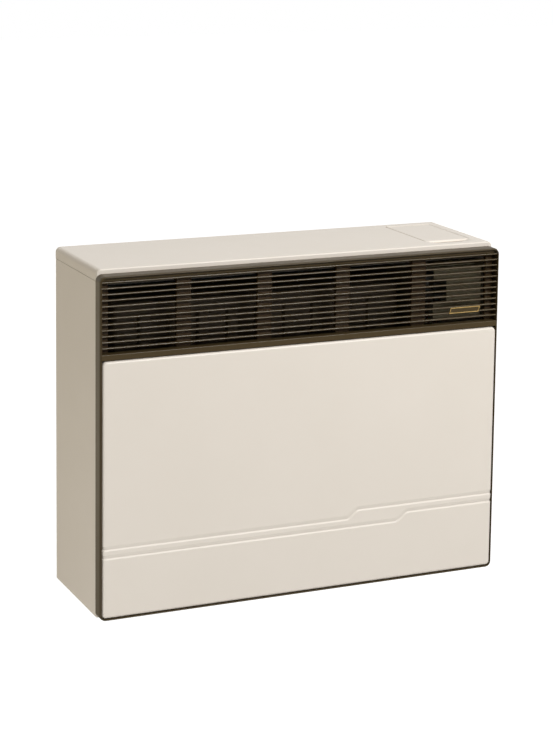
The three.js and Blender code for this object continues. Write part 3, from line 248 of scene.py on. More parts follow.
def finish(name, mesh, material, body, nodes, sharp=32, edge=0.0):
    """Shades a mesh, eases its sharp edges and sets it in place of its CAD nodes."""
    mesh.materials.clear()
    mesh.materials.append(material)
    mesh.shade_smooth()
    mesh.set_sharp_from_angle(angle=math.radians(sharp))
    piece = bpy.data.objects.new(name, mesh)
    bpy.context.scene.collection.objects.link(piece)
    if edge:
        eased = piece.modifiers.new("eased_edges", "BEVEL")
        eased.width = edge * MM
        eased.segments = 2
        eased.angle_limit = math.radians(sharp)
        eased.harden_normals = False
    weight = piece.modifiers.new("flat_faces_first", "WEIGHTED_NORMAL")
    weight.keep_sharp = not edge
    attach(piece, body)
    if nodes:
        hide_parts(*nodes)


dress(["back_plate", "bottom_rail", "air_deflector", "inlet_bracket"], galvanised)

# ---------------------------------------------------------------- heat exchanger and partition
# A welded steel box and the sheet partition between it and the controls, sprayed with heat-proof enamel. A
# dished door with a sight glass closes the box on a pressed fibre gasket, and the plated burner stands on
# its floor. The heat shield and the air box are galvanised sheet.

# Heat-proof enamel: a dull film that heat and dust have turned grey-brown in patches. Its grit is drawn
# coarser than the real 0.3 mm.
heat_proof, tree, shader, place = surface("heat_proof_enamel", {"IOR": 1.5})
grit = add(tree, "ShaderNodeTexNoise", {"Scale": per_mm(1.2), "Detail": 3.0}, {"Vector": place})
scorch = add(tree, "ShaderNodeTexNoise", {"Scale": per_mm(70), "Detail": 4.0}, {"Vector": place})
dusty_browns = {"data_type": "RGBA", 6: linear("#51483d"), 7: linear("#6a5a48")}
scorched = add(tree, "ShaderNodeMix", dusty_browns, {0: scorch.outputs[0]})
tree.links.new(scorched.outputs[2], shader.inputs["Base Color"])
dull = add(tree, "ShaderNodeMapRange", {"To Min": 0.55, "To Max": 0.75}, {0: grit.outputs[0]})
tree.links.new(dull.outputs[0], shader.inputs["Roughness"])
relief = add(tree, "ShaderNodeBump", {"Strength": 0.4, "Distance": 0.08 * MM}, {"Height": grit.outputs[0]})
tree.links.new(relief.outputs[0], shader.inputs["Normal"])
dress(["heat_exchanger", "burner_door", "partition"], heat_proof)

# Pressed fibre board: pale and quite matt. Its strands, which are 0.1 mm thick, are drawn coarser to show.
fibre, tree, shader, place = surface("pressed_fibre_board", {"Roughness": 0.95})
tangle = {"Scale": per_mm(0.8), "Detail": 6.0, "Distortion": 2.0}
strands = add(tree, "ShaderNodeTexNoise", tangle, {"Vector": place})
pale_felt = {"data_type": "RGBA", 6: linear("#a8a293"), 7: linear("#d2ccbe")}
felt = add(tree, "ShaderNodeMix", pale_felt, {0: strands.outputs[0]})
tree.links.new(felt.outputs[2], shader.inputs["Base Color"])
relief = add(tree, "ShaderNodeBump", {"Strength": 0.6, "Distance": 0.1 * MM}, {"Height": strands.outputs[0]})
tree.links.new(relief.outputs[0], shader.inputs["Normal"])
dress(["burner_door_gasket", "exhaust_gasket"], fibre, edge=0)

# Heat-proof glass: clear with a green cast, and a film of smoke that blurs it in places.
clear_green = {"IOR": 1.47, "Transmission Weight": 1.0, "Base Color": linear("#dfe9e4")}
glass, tree, shader, place = surface("heat_proof_glass", clear_green)
smear = add(tree, "ShaderNodeTexNoise", {"Scale": per_mm(8), "Detail": 3.0}, {"Vector": place})
film = add(tree, "ShaderNodeMapRange", {"To Min": 0.02, "To Max": 0.14}, {0: smear.outputs[0]})
tree.links.new(film.outputs[0], shader.inputs["Roughness"])
dress(["sight_glass"], glass, edge=0.2)


def clouded(name, settings, size, detail, tones, sheen=None):
    """A material whose tone wavers in soft patches of a size in millimetres; its sheen may waver with it."""
    material, nodes, bsdf, where = surface(name, settings)
    patches = add(nodes, "ShaderNodeTexNoise", {"Scale": per_mm(size), "Detail": detail}, {"Vector": where})
    two_tones = {"data_type": "RGBA", 6: linear(tones[0]), 7: linear(tones[1])}
    tone = add(nodes, "ShaderNodeMix", two_tones, {0: patches.outputs[0]})
    nodes.links.new(tone.outputs[2], bsdf.inputs["Base Color"])
    if sheen:
        levels = {"To Min": sheen[0], "To Max": sheen[1]}
        rough = add(nodes, "ShaderNodeMapRange", levels, {0: patches.outputs[0]})
        nodes.links.new(rough.outputs[0], bsdf.inputs["Roughness"])
    return material


# Zinc-plated steel: a bright grey, slightly clouded.
zinc_plated = clouded("zinc_plated_steel", {"Metallic": 1.0}, 6, 4.0, ("#9b9b97", "#bdbdb8"), (0.22, 0.42))
dress(["sight_frame", "burner_tube", "burner_support"], zinc_plated, edge=0.2)
dress(["heat_shield", "air_box"], galvanised)

# ---------------------------------------------------------------- ducts through the wall
# Two drawn aluminium tubes, one inside the other, each with a flange at its inner end: burnt gas leaves by
# the inner one, and fresh air comes in between them.

# Drawn aluminium: a light grey shine with fine lines along the tube, drawn coarser than the die leaves them.
aluminium, tree, shader, place = surface("drawn_aluminium", {"Metallic": 1.0})
pulled = add(tree, "ShaderNodeMapping", {"Scale": (1, 0.03, 1)}, {"Vector": place})
lines = add(tree, "ShaderNodeTexNoise", {"Scale": per_mm(0.9), "Detail": 4.0}, {"Vector": pulled.outputs[0]})
patch = add(tree, "ShaderNodeTexNoise", {"Scale": per_mm(30), "Detail": 3.0}, {"Vector": place})
light_greys = {"data_type": "RGBA", 6: linear("#a7a9ab"), 7: linear("#cfd0d1")}
drawn = add(tree, "ShaderNodeMix", light_greys, {0: patch.outputs[0]})
tree.links.new(drawn.outputs[2], shader.inputs["Base Color"])
sheen = add(tree, "ShaderNodeMapRange", {"To Min": 0.25, "To Max": 0.45}, {0: lines.outputs[0]})
tree.links.new(sheen.outputs[0], shader.inputs["Roughness"])
relief = add(tree, "ShaderNodeBump", {"Strength": 0.3, "Distance": 0.03 * MM}, {"Height": lines.outputs[0]})
tree.links.new(relief.outputs[0], shader.inputs["Normal"])


def mesh_of(name, points, faces):
    """A mesh from points in millimetres, with doubled points joined and its faces turned outwards."""
    mesh = bpy.data.meshes.new(name)
    mesh.from_pydata([Vector(p) * MM for p in points], [], faces)
    work = bmesh.new()
    work.from_mesh(mesh)
    bmesh.ops.remove_doubles(work, verts=work.verts, dist=0.001 * MM)
    bmesh.ops.recalc_face_normals(work, faces=work.faces)
    work.to_mesh(mesh)
    work.free()
    return mesh


def joined(*parts):
    """Several lists of points and faces as one."""
    points, faces = [], []
    for more, others in parts:
        faces += [tuple(i + len(points) for i in face) for face in others]
        points += more
    return points, faces


def band(nearer, further, count):
    """The faces between two closed rings of points."""
    pairs = [(k, (k + 1) % count) for k in range(count)]
    return [(nearer + k, nearer + n, further + n, further + k) for k, n in pairs]


AXES = {"x": (1, 2, 0), "y": (0, 2, 1), "z": (0, 1, 2)}


def turned(axis, a, b, profile, sides):
    """A lathe turning round an axis: the profile is a closed loop of radius and place along the axis."""
    i, j, n = AXES[axis]
    points, faces = [], []
    for radius, along_axis in profile:
        for k in range(sides):
            angle = 2 * math.pi * k / sides
            spot = [0, 0, 0]
            spot[i], spot[j], spot[n] = a + radius * math.cos(angle), b + radius * math.sin(angle), along_axis
            points.append(spot)
    for row in range(len(profile)):
        faces += band(row * sides, (row + 1) % len(profile) * sides, sides)
    return points, faces


flue_z = 270
duct_wall, flange_width, flange_bend = 1.5, 12, 1.2
for name, radius, far, flange in (("air_duct", 60, 40, 1.2), ("exhaust_duct", 38, 55, 1.5)):
    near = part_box(name)[0].y / MM
    loop = [(radius + flange_width, near), (radius + flange_width, near + flange)]
    loop += [(radius + flange_bend, near + flange), (radius, near + flange + flange_bend)]
    loop += [(radius, far - 0.5), (radius - 0.4, far), (radius - duct_wall + 0.4, far)]
    loop += [(radius - duct_wall, far - 0.5), (radius - duct_wall, near)]
    tube = mesh_of(name, *turned("y", 0, flue_z, loop, 96))
    finish(name + "_tube", tube, aluminium, "case", [name])

# ---------------------------------------------------------------- burner's fittings, pilot and pipes
# A brass jet feeds the burner, and a brass pilot burns beside it. A copper-sheathed thermocouple and a
# glazed ceramic electrode stand in the pilot's flame, and bent copper pipes bring the gas.

# Machined brass: a warm yellow metal that has tarnished in soft patches.
brass = clouded("machined_brass", {"Metallic": 1.0}, 9, 5.0, ("#9c7a3c", "#cfab63"), (0.2, 0.4))
dress(["injector", "pilot_burner", "gas_inlet"], brass, edge=0.3)

# Drawn copper: a red metal, browned where hands and heat have been.
copper = clouded("drawn_copper", {"Metallic": 1.0}, 14, 5.0, ("#8a4e32", "#c8835d"), (0.24, 0.42))
dress(["thermocouple", "supply_pipe", "burner_pipe", "pilot_pipe"], copper, edge=0, sharp=60)

# Glazed ceramic: a glossy off-white with faint specks in its body.
glaze = {"IOR": 1.55, "Roughness": 0.22}
ceramic = clouded("glazed_ceramic", glaze, 1.5, 2.0, ("#dcd7ca", "#f0ece2"))
dress(["spark_electrode"], ceramic, edge=0.2, sharp=50)

# Moulded black ABS: a soft sheen on a fine spark-eroded grain, which is drawn coarser than the real 0.2 mm.
black_plastic, tree, shader, place = surface("moulded_black_abs", {"IOR": 1.53})
grain = add(tree, "ShaderNodeTexNoise", {"Scale": per_mm(0.5), "Detail": 2.0}, {"Vector": place})
scuff = add(tree, "ShaderNodeTexNoise", {"Scale": per_mm(12), "Detail": 4.0}, {"Vector": place})
blacks = {"data_type": "RGBA", 6: linear("#161617"), 7: linear("#232324")}
scuffed = add(tree, "ShaderNodeMix", blacks, {0: scuff.outputs[0]})
tree.links.new(scuffed.outputs[2], shader.inputs["Base Color"])
dull = add(tree, "ShaderNodeMapRange", {"To Min": 0.36, "To Max": 0.5}, {0: grain.outputs[0]})
tree.links.new(dull.outputs[0], shader.inputs["Roughness"])
relief = add(tree, "ShaderNodeBump", {"Strength": 0.3, "Distance": 0.03 * MM}, {"Height": grain.outputs[0]})
tree.links.new(relief.outputs[0], shader.inputs["Normal"])
dress(["ignition_lead"], black_plastic, edge=0, sharp=60)

# ---------------------------------------------------------------- gas tap and igniter
# The tap is a pressure die casting. Its brass spindle comes up through the shelf of the control bracket,
# beside the barrel of the spark igniter with its nut and red button.

# Die-cast aluminium: a grey metal, sandy where it wasn't machined. The sand is drawn coarser than it is.
casting, tree, shader, place = surface("die_cast_aluminium", {"Metallic": 1.0})
sand = add(tree, "ShaderNodeTexNoise", {"Scale": per_mm(1.0), "Detail": 4.0}, {"Vector": place})
casting_greys = {"data_type": "RGBA", 6: linear("#85878a"), 7: linear("#b1b2b3")}
grey = add(tree, "ShaderNodeMix", casting_greys, {0: sand.outputs[0]})
tree.links.new(grey.outputs[2], shader.inputs["Base Color"])
dull = add(tree, "ShaderNodeMapRange", {"To Min": 0.42, "To Max": 0.62}, {0: sand.outputs[0]})
tree.links.new(dull.outputs[0], shader.inputs["Roughness"])
relief = add(tree, "ShaderNodeBump", {"Strength": 0.5, "Distance": 0.1 * MM}, {"Height": sand.outputs[0]})
tree.links.new(relief.outputs[0], shader.inputs["Normal"])
dress(["gas_valve"], casting, edge=0.6)
dress(["valve_spindle"], brass, "spindle", edge=0.2)
dress(["igniter_body"], black_plastic, edge=0.3)
dress(["igniter_nut"], zinc_plated, edge=0.5)

# Moulded red ABS: a glossy signal red, slightly faded in places.
polished_abs = {"IOR": 1.53, "Roughness": 0.3}
red_plastic = clouded("moulded_red_abs", polished_abs, 5, 3.0, ("#8e1712", "#a8241c"))
control_x, knob_y, igniter_y = 300, -120, -50
axis_gap = 0.01  # a lathe profile's ends stay this far from its axis
low, high = (corner.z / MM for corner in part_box("igniter_button"))
crown = [(6, high - 2.4), (5.7, high - 1.5), (4.8, high - 0.8), (3, high - 0.25), (axis_gap, high)]
button = turned("z", control_x, igniter_y, [(axis_gap, low), (6, low), *crown], 48)
button_mesh = mesh_of("igniter_push", *button)
finish("igniter_push", button_mesh, red_plastic, "igniter", ["igniter_button"])

# ---------------------------------------------------------------- control knob
# Moulded in black ABS: a broad skirt printed with white numbers, and a fluted grip with a white pointer. It
# is pushed on the spindle and slides on it.

low, high = (corner.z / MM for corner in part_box("control_knob"))
skirt_radius, grip_radius, bore_radius = 21, 15, 3.3
skirt_top = low + 6
skirt = [(bore_radius, low), (skirt_radius, low), (skirt_radius, low + 0.6)]
skirt += [(skirt_radius - 1.6, skirt_top - 0.5), (skirt_radius - 2.2, skirt_top), (bore_radius, skirt_top)]
flutes, flute_depth = 12, 1.6
grip_sides = 24 * flutes
grip_foot = skirt_top - 0.5
bore_roof = high - 4
bore_rings = [(bore_radius, bore_roof, 0), (bore_radius, grip_foot, 0)]
grip_rings = [(grip_radius, grip_foot, flute_depth), (grip_radius, high - 1.6, flute_depth)]
grip_rings += [(grip_radius - 0.25, high - 0.8, flute_depth), (grip_radius - 0.8, high - 0.2, flute_depth)]
grip_rings += [(grip_radius - 1.6, high, flute_depth), (3.1, high - 0.5, 0)]
rings, grip_faces = [], []
for ring_radius, z, depth in bore_rings + grip_rings:
    if rings:
        grip_faces += band(len(rings) - grip_sides, len(rings), grip_sides)
    for k in range(grip_sides):
        angle = 2 * math.pi * k / grip_sides
        radius = ring_radius - depth * (0.5 + 0.5 * math.cos(angle * flutes)) ** 2
        rings.append((control_x + radius * math.cos(angle), knob_y + radius * math.sin(angle), z))
grip_faces += [tuple(range(grip_sides)), tuple(range(len(rings) - grip_sides, len(rings)))]
knob = mesh_of("knob", *joined(turned("z", control_x, knob_y, skirt, 96), (rings, grip_faces)))
finish("knob", knob, black_plastic, "knob", ["control_knob"], sharp=40)

# White printing ink: a flat white film, worn thin in specks that are drawn coarser than they are.
ink = clouded("white_printing_ink", {"Roughness": 0.45}, 0.8, 3.0, ("#c9c8c2", "#efeee8"))
figure_radius, figure_step = 17, 40
figure_size, ink_thick, ink_gap = 3.51, 0.02, 0.03
for figure in range(8):
    name = f"knob_figure_{figure}"
    curve = bpy.data.curves.new(name, "FONT")
    curve.body = str(figure)
    curve.size = figure_size * MM
    curve.align_x = "CENTER"
    curve.align_y = "CENTER"
    curve.extrude = ink_thick * MM
    letter = bpy.data.objects.new(name, curve)
    mesh = bpy.data.meshes.new_from_object(letter)
    bpy.data.objects.remove(letter)
    angle = math.radians(-90 - figure_step * figure)
    x = control_x + figure_radius * math.cos(angle)
    y = knob_y + figure_radius * math.sin(angle)
    spot = Vector((x, y, skirt_top + ink_gap)) * MM
    mesh.transform(Matrix.Translation(spot) @ Matrix.Rotation(angle + math.pi / 2, 4, "Z"))
    finish(name, mesh, ink, "knob", [])


def prism(axis, outline, start, end):
    """A closed outline pushed along an axis."""
    i, j, n = AXES[axis]
    points = []
    for along_axis in (start, end):
        for a, b in outline:
            spot = [0, 0, 0]
            spot[i], spot[j], spot[n] = a, b, along_axis
            points.append(spot)
    count = len(outline)
    return points, [*band(0, count, count), tuple(range(count)), tuple(range(count, 2 * count))]


pointer_low, pointer_thick = high - 0.02, 0.06
pointer_box = [(-0.6, -13), (0.6, -13), (0.6, -5), (-0.6, -5)]
pointer_outline = [(control_x + x, knob_y + y) for x, y in pointer_box]
pointer = mesh_of("knob_pointer", *prism("z", pointer_outline, pointer_low, pointer_low + pointer_thick))
finish("knob_pointer", pointer, ink, "knob", [])

# ---------------------------------------------------------------- side panels
# Sheet steel, folded in at the front, back and bottom, then stove-enamelled cream like the lid and the
# front, and screwed to the front frame.


def enamel(name, light, deep, rough, coat, gloss_level):
    """Stoved enamel on steel: two close tones, a fine orange peel, and a painted shade that darkens the
    hollows.
    """
    film = {"IOR": 1.5, "Coat Weight": coat, "Coat Roughness": 0.12, "Specular IOR Level": gloss_level}
    material, nodes, bsdf, where = surface(name, film)
    clouds = add(nodes, "ShaderNodeTexNoise", {"Scale": per_mm(160), "Detail": 3.0}, {"Vector": where})
    two_tones = {"data_type": "RGBA", 6: linear(light), 7: linear(deep)}
    tones = add(nodes, "ShaderNodeMix", two_tones, {0: clouds.outputs[0]})
    # Painted shade: ambient occlusion darkens the colour towards a grey-brown in hollows and close to other
    # parts.
    hollow = add(nodes, "ShaderNodeAmbientOcclusion", {"samples": 4, "Distance": 5 * MM})
    shade_levels = {"From Min": 0.25, "From Max": 0.8, "To Min": 0.18, "To Max": 0.0}
    painted_shade = add(nodes, "ShaderNodeMapRange", shade_levels, {0: hollow.outputs["AO"]})
    shade_colour = {"data_type": "RGBA", 7: linear("#62553f")}
    shaded_tones = add(nodes, "ShaderNodeMix", shade_colour, {0: painted_shade.outputs[0], 6: tones.outputs[2]})
    nodes.links.new(shaded_tones.outputs[2], bsdf.inputs["Base Color"])
    skin = add(nodes, "ShaderNodeTexNoise", {"Scale": per_mm(orange_peel), "Detail": 1.0}, {"Vector": where})
    smudge = add(nodes, "ShaderNodeTexNoise", {"Scale": per_mm(45), "Detail": 4.0}, {"Vector": where})
    uneven = {"To Min": rough - 0.05, "To Max": rough + 0.07}
    gloss = add(nodes, "ShaderNodeMapRange", uneven, {0: smudge.outputs[0]})
    nodes.links.new(gloss.outputs[0], bsdf.inputs["Roughness"])
    faint = {"Strength": 0.12, "Distance": 0.03 * MM}
    ripple = add(nodes, "ShaderNodeBump", faint, {"Height": skin.outputs[0]})
    nodes.links.new(ripple.outputs[0], bsdf.inputs["Normal"])
    return material


# Stoved cream enamel: a calm warm white with a soft gloss and a faint orange peel, which is drawn coarser
# than the real 1 mm, and a painted grey-brown shade in its hollows and where it meets other parts.
orange_peel = 2.2
cream = enamel("stoved_cream_enamel", "#dbd3c9", "#d7cfc4", 0.42, 0.06, 0.42)
dress(["side_panel_left", "side_panel_right"], cream, edge=0.55)

# ---------------------------------------------------------------- front frame
# A deep rim of steel with a rolled front edge and a flange behind it. The lip over the grille, the strip
# behind it and the cross-bar under the grille are folded from the same sheet and spot welded in, and all of
# it is stove-enamelled brown. The bracket over the gas tap only got an undercoat.

# Stoved brown enamel: a dark earth brown with a satin gloss, which turns grey where it mirrors the room.
brown = enamel("stoved_brown_enamel", "#463a23", "#413521", 0.32, 0.0, 0.22)


def rounded_ring(half, low, high, radius, inset, y, steps=12):
    """Points round a rectangle with rounded corners, drawn in by inset."""
    reach = max(radius, inset)
    left_over = max(radius - inset, 0)
    points = []
    corners = [(1, low + reach, -90), (1, high - reach, 0), (-1, high - reach, 90), (-1, low + reach, 180)]
    for side_x, centre_z, start in corners:
        for k in range(steps + 1):
            angle = math.radians(start + 90 * k / steps)
            x = side_x * (half - reach) + left_over * math.cos(angle)
            points.append((x, y, centre_z + left_over * math.sin(angle)))
    return points


def wrapped(loop, outline):
    """Skins the rings that a closed loop of inset and depth makes round an outline."""
    points, faces = [], []
    for inset, y in loop:
        points += outline(inset, y)
    count = len(points) // len(loop)
    for row in range(len(loop)):
        faces += band(row * count, (row + 1) % len(loop) * count, count)
    return points, faces


frame_half, frame_low, frame_high = 370, -60, 521
frame_front, frame_back = -240, -216
rim_corner, rim_wall, flange_reach = 11, 3, 14
frame_sheet = 1.5
outer_roll, inner_roll = 2, 1
roll_depth = 7.5
arc = [math.radians(a) for a in range(0, 91, 15)]
nose = [(outer_roll * (1 - math.cos(a)), frame_front + roll_depth * (1 - math.sin(a))) for a in arc]
nose += [(outer_roll + inner_roll * math.sin(a), frame_front + inner_roll * (1 - math.cos(a))) for a in arc]
flange_front = frame_back - frame_sheet
rim_loop = [(0, frame_back), *nose, (rim_wall, flange_front)]
rim_loop += [(flange_reach, flange_front), (flange_reach, frame_back)]
rim_outline = (frame_half, frame_low, frame_high, rim_corner)
rim = wrapped(rim_loop, lambda inset, y: rounded_ring(*rim_outline, inset, y))

weld_half = 367.5  # the lip and the cross-bar end inside the rim's wall
lip_front, lip_back = -234, -234 + frame_sheet
lip_low, lip_high = 511.8, 518.5
lip_ease = 0.4
lip_shape = [(lip_front, lip_low + lip_ease), (lip_front + lip_ease, lip_low), (lip_back, lip_low)]
lip_shape += [(lip_back, lip_high), (lip_front, lip_high)]
lip = prism("x", lip_shape, -weld_half, weld_half)


def soft_corners(corners, radii, steps=4):
    """Rounds the corners of a closed outline, each by its own radius."""
    rounded = []
    for k, (corner, radius) in enumerate(zip(corners, radii)):
        here = Vector(corner)
        if not radius:
            rounded.append(tuple(here))
            continue
        start = here + (Vector(corners[k - 1]) - here).normalized() * radius
        end = here + (Vector(corners[(k + 1) % len(corners)]) - here).normalized() * radius
        for step in range(steps + 1):
            t = step / steps
            rounded.append(tuple(start * (1 - t) ** 2 + here * (2 * t * (1 - t)) + end * t * t))
    return rounded


crossbar_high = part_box("grille")[0].z / MM - 0.3
crossbar_low = crossbar_high - 10.2
crossbar_front = frame_front + 0.5
bar_inside = (crossbar_front + frame_sheet, crossbar_low + frame_sheet, crossbar_high - frame_sheet)
bar_shape = [(crossbar_front, crossbar_low), (crossbar_front, crossbar_high), (frame_back, crossbar_high)]
bar_shape += [(frame_back, bar_inside[2]), (bar_inside[0], bar_inside[2]), (bar_inside[0], bar_inside[1])]
bar_shape += [(frame_back, bar_inside[1]), (frame_back, crossbar_low)]
bar = prism("x", soft_corners(bar_shape, [1.6, 1.6, 0, 0, 0, 0, 0, 0]), -weld_half, weld_half)
strip_low, strip_high, strip_half = 502.4, 507.4, frame_half - flange_reach + 0.2
strip_shape = [(flange_front, strip_low), (frame_back, strip_low)]
strip_shape += [(frame_back, strip_high), (flange_front, strip_high)]
strip = prism("x", strip_shape, -strip_half, strip_half)
frame_mesh = mesh_of("brown_frame", *joined(rim, lip, bar, strip))
finish("brown_frame", frame_mesh, brown, "case", ["front_frame"], sharp=35)

# Stoved undercoat: a flat greyish beige without the last coat's gloss.
undercoat = enamel("stoved_beige_undercoat", "#b5ab90", "#aca288", 0.5, 0.0, 0.3)
dress(["control_bracket"], undercoat)
dress([f"frame_screw_{i}" for i in range(1, 5)], zinc_plated, edge=0.2)

# ---------------------------------------------------------------- grille
# Twelve long louvres, roll-formed with a round nose and a thin blade that droops to the back, are spot
# welded to four channel pillars and two end strips, and enamelled with the frame.

slat_pitch = 9.92
first_slat = frame_high - 10.6
slat_front, slat_depth, slat_half = -238, 15, 366.4
slat_nose, slat_neck, slat_blade = 1.25, 2.5, 1.2
slat_droop = math.radians(8)


def louvre(z):
    """The section of a louvre, and its body between the rims."""
    half_turn = [math.radians(a) for a in range(0, 181, 15)]
    centre_y = slat_front + slat_nose
    outline = [(centre_y - slat_nose * math.sin(a), z + slat_nose * math.cos(a)) for a in half_turn]
    tail = slat_front + slat_depth
    tail_high = z + slat_nose - (slat_depth - slat_nose) * math.tan(slat_droop)
    outline += [(slat_front + slat_neck, z - slat_blade), (tail, tail_high - slat_blade), (tail, tail_high)]
    outline += [(slat_front + slat_neck, z + slat_nose)]
    return prism("x", outline, -slat_half, slat_half)


def channel(middle, width, low, high):
    """A pillar of folded sheet: its web faces the room."""
    left, right = middle - width / 2, middle + width / 2
    thick = 1.2
    web, foot = -224, -217.8
    outline = [(left, web), (right, web), (right, foot), (right - thick, foot), (right - thick, web + thick)]
    outline += [(left + thick, web + thick), (left + thick, foot), (left, foot)]
    return prism("z", soft_corners(outline, [1.5, 1.5, 0, 0, 0, 0, 0, 0]), low, high)


grille_low, grille_high = (corner.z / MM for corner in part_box("grille"))
louvres = joined(*(louvre(first_slat - i * slat_pitch) for i in range(12)))
pillar_pitch, pillar_width = 145.8, 27
end_place, end_width = 358.6, 15
stands = [((i - 1.5) * pillar_pitch, pillar_width) for i in range(4)]
stands += [(-end_place, end_width), (end_place, end_width)]
pillars = joined(*(channel(middle, width, grille_low, grille_high) for middle, width in stands))

# The louvres and the pillars take copies of the brown enamel set to how light falls on them, as painted light:
# the louvres' copy is lighter and glossier, so their noses catch more light than the frame does, and the
# pillars' copy is lighter, redder and duller, set for the shade behind the louvres.
louvre_brown_lit_copy = enamel("stoved_brown_enamel_on_louvres", "#4c4029", "#473b26", 0.27, 0.0, 0.37)
finish("louvres", mesh_of("louvres", *louvres), louvre_brown_lit_copy, "case", ["grille"], sharp=35)
pillar_brown_shade_copy = enamel("brown_enamel_copy_for_the_shade", "#57422a", "#523e27", 0.38, 0.0, 0.2)
pillar_mesh = mesh_of("grille_pillars", *pillars)
finish("grille_pillars", pillar_mesh, pillar_brown_shade_copy, "case", ["grille"], sharp=35)

# ---------------------------------------------------------------- trim bar
# A small slanted bar of aluminium, fixed to the front of the louvres. Its raised rim is anodised, and its
# field is plain brown enamel.

# Gold anodised aluminium: a warm gold that glints. Its brushed lines are drawn coarser than the real 0.05 mm.
gold, tree, shader, place = surface("gold_anodised_aluminium", {"Metallic": 1.0})
brushed = add(tree, "ShaderNodeMapping", {"Scale": (0.05, 1, 1)}, {"Vector": place})
hair = add(tree, "ShaderNodeTexNoise", {"Scale": per_mm(0.35), "Detail": 3.0}, {"Vector": brushed.outputs[0]})
golds = {"data_type": "RGBA", 6: linear("#d3a557"), 7: linear("#f6dc9a")}
golden = add(tree, "ShaderNodeMix", golds, {0: hair.outputs[0]})
tree.links.new(golden.outputs[2], shader.inputs["Base Color"])
sheen = add(tree, "ShaderNodeMapRange", {"To Min": 0.3, "To Max": 0.5}, {0: hair.outputs[0]})
tree.links.new(sheen.outputs[0], shader.inputs["Roughness"])
(trim_left, trim_front, trim_low), (trim_right, trim_back, trim_high) = (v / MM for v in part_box("badge_bar"))
trim_slant = 3


def slanted(inset):
    """The bar's outline, drawn in by inset."""
    lean = trim_slant * inset / (trim_high - trim_low)
    low_left, low_right = trim_left + inset + lean, trim_right - trim_slant - inset + lean
    high_left, high_right = trim_left + trim_slant + inset - lean, trim_right - inset - lean
    low, high = trim_low + inset, trim_high - inset
    return [(low_left, low), (low_right, low), (high_right, high), (high_left, high)]


rim_width, trim_ease, field_depth = 1.3, 0.3, 0.5
steps = [(0, trim_back), (0, trim_front + trim_ease), (trim_ease, trim_front)]
steps += [(rim_width - trim_ease, trim_front), (rim_width, trim_front + trim_ease), (rim_width, trim_back)]
trim = mesh_of("trim_rim", *wrapped(steps, lambda inset, y: [(x, y, z) for x, z in slanted(inset)]))
finish("trim_rim", trim, gold, "case", ["badge_bar"])
field = mesh_of("trim_field", *prism("y", slanted(rim_width - 0.1), trim_front + field_depth, trim_back))
finish("trim_field", field, brown, "case", ["badge_bar"])

# ---------------------------------------------------------------- front panel
# One pressing in sheet steel with rolled edges, held by two spring clips. Two grooves run across it, each
# with a gentle upper slope and a sharp lower one, and step up towards the right, one after the other.

low_corner, high_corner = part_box("front_panel")
wider, lower = 1.2, 1.3  # than the model, so that the gaps round it are as narrow as on the real one
panel_half = high_corner.x / MM + wider
panel_low, panel_high = low_corner.z / MM - lower, high_corner.z / MM
panel_front, panel_back = -240, high_corner.y / MM
panel_sheet = 1.2
edge_roll = 5
corner_low, corner_high = 7, 9
grooves = [(49.0, 177.4, 196.8, 15.0), (64.0, 82.9, 99.8, 14.5)]  # height, step from and to, rise
groove_depth = 1.35
groove_top, groove_floor, groove_foot = 4.6, -1.2, -3.8  # above and below a groove's middle
groove_run_out = 7  # a groove gets deeper over this much of each end
fold = 0.35


def groove_line(x, height, start, end, rise):
    """The middle of a groove over x, with its bends rounded, and how steep it is."""
    sharpness = 12

    def climb(u):
        t = min(max((u - start) / (end - start), -2), 3)
        return (math.log1p(math.exp(t * sharpness)) - math.log1p(math.exp((t - 1) * sharpness))) / sharpness

    return height + rise * climb(x), (climb(x + 0.1) - climb(x - 0.1)) * rise / 0.2


def groove_at(offset):
    """How deep the pressing is at a height above or below the middle of its groove."""
    if offset > groove_floor:
        return groove_depth * max(groove_top - offset, 0) / (groove_top - groove_floor)
    return groove_depth * max(offset - groove_foot, 0) / (groove_floor - groove_foot)


# The pressing is a grid whose columns stand close together where a groove steps up.
rolled = [edge_roll * (1 - math.cos(math.radians(a))) for a in range(0, 91, 10)] + [corner_low, corner_high]
columns = [d - panel_half for d in rolled] + [-300, -200, -100, 0, 50, 72]
close = 1.3
columns += [74 + close * i for i in range(28)] + [130, 150, 166]
columns += [169 + close * i for i in range(29)] + [230, 270, 320] + [panel_half - d for d in reversed(rolled)]
offsets = [corner + side * fold for corner in (groove_foot, groove_floor, groove_top) for side in (-1, 1)]
offsets = [offsets[0] - fold, *offsets, offsets[-1] + fold]
rows = [("edge", panel_low + d) for d in rolled] + [("edge", panel_low + 40)]
rows += [("groove", 0, o) for o in offsets] + [("between",)] + [("groove", 1, o) for o in offsets]
rows += [("edge", panel_low + 240)] + [("edge", panel_high - d) for d in reversed(rolled)]


def row_height(row, x):
    """How high a row of the pressing lies at x, and how deep it is pressed there."""
    if row[0] == "edge":
        return row[1], 0
    if row[0] == "groove":
        middle, slope = groove_line(x, *grooves[row[1]])
        return middle + row[2] * math.hypot(1, slope), groove_at(row[2])
    lower, upper = (groove_line(x, *g)[0] for g in grooves)
    return (lower + upper) / 2, 0


def in_corner(x, from_side, from_end, corner):
    """Draws a grid point that lies near a corner on to an arc round it."""
    a, b = corner - from_side, corner - from_end
    out = max(a, b)
    angle = math.radians(45 * b / a if a >= b else 90 - 45 * a / b)
    across = math.copysign(panel_half - corner + out * math.cos(angle), x)
    return across, corner - out * math.sin(angle), corner - out


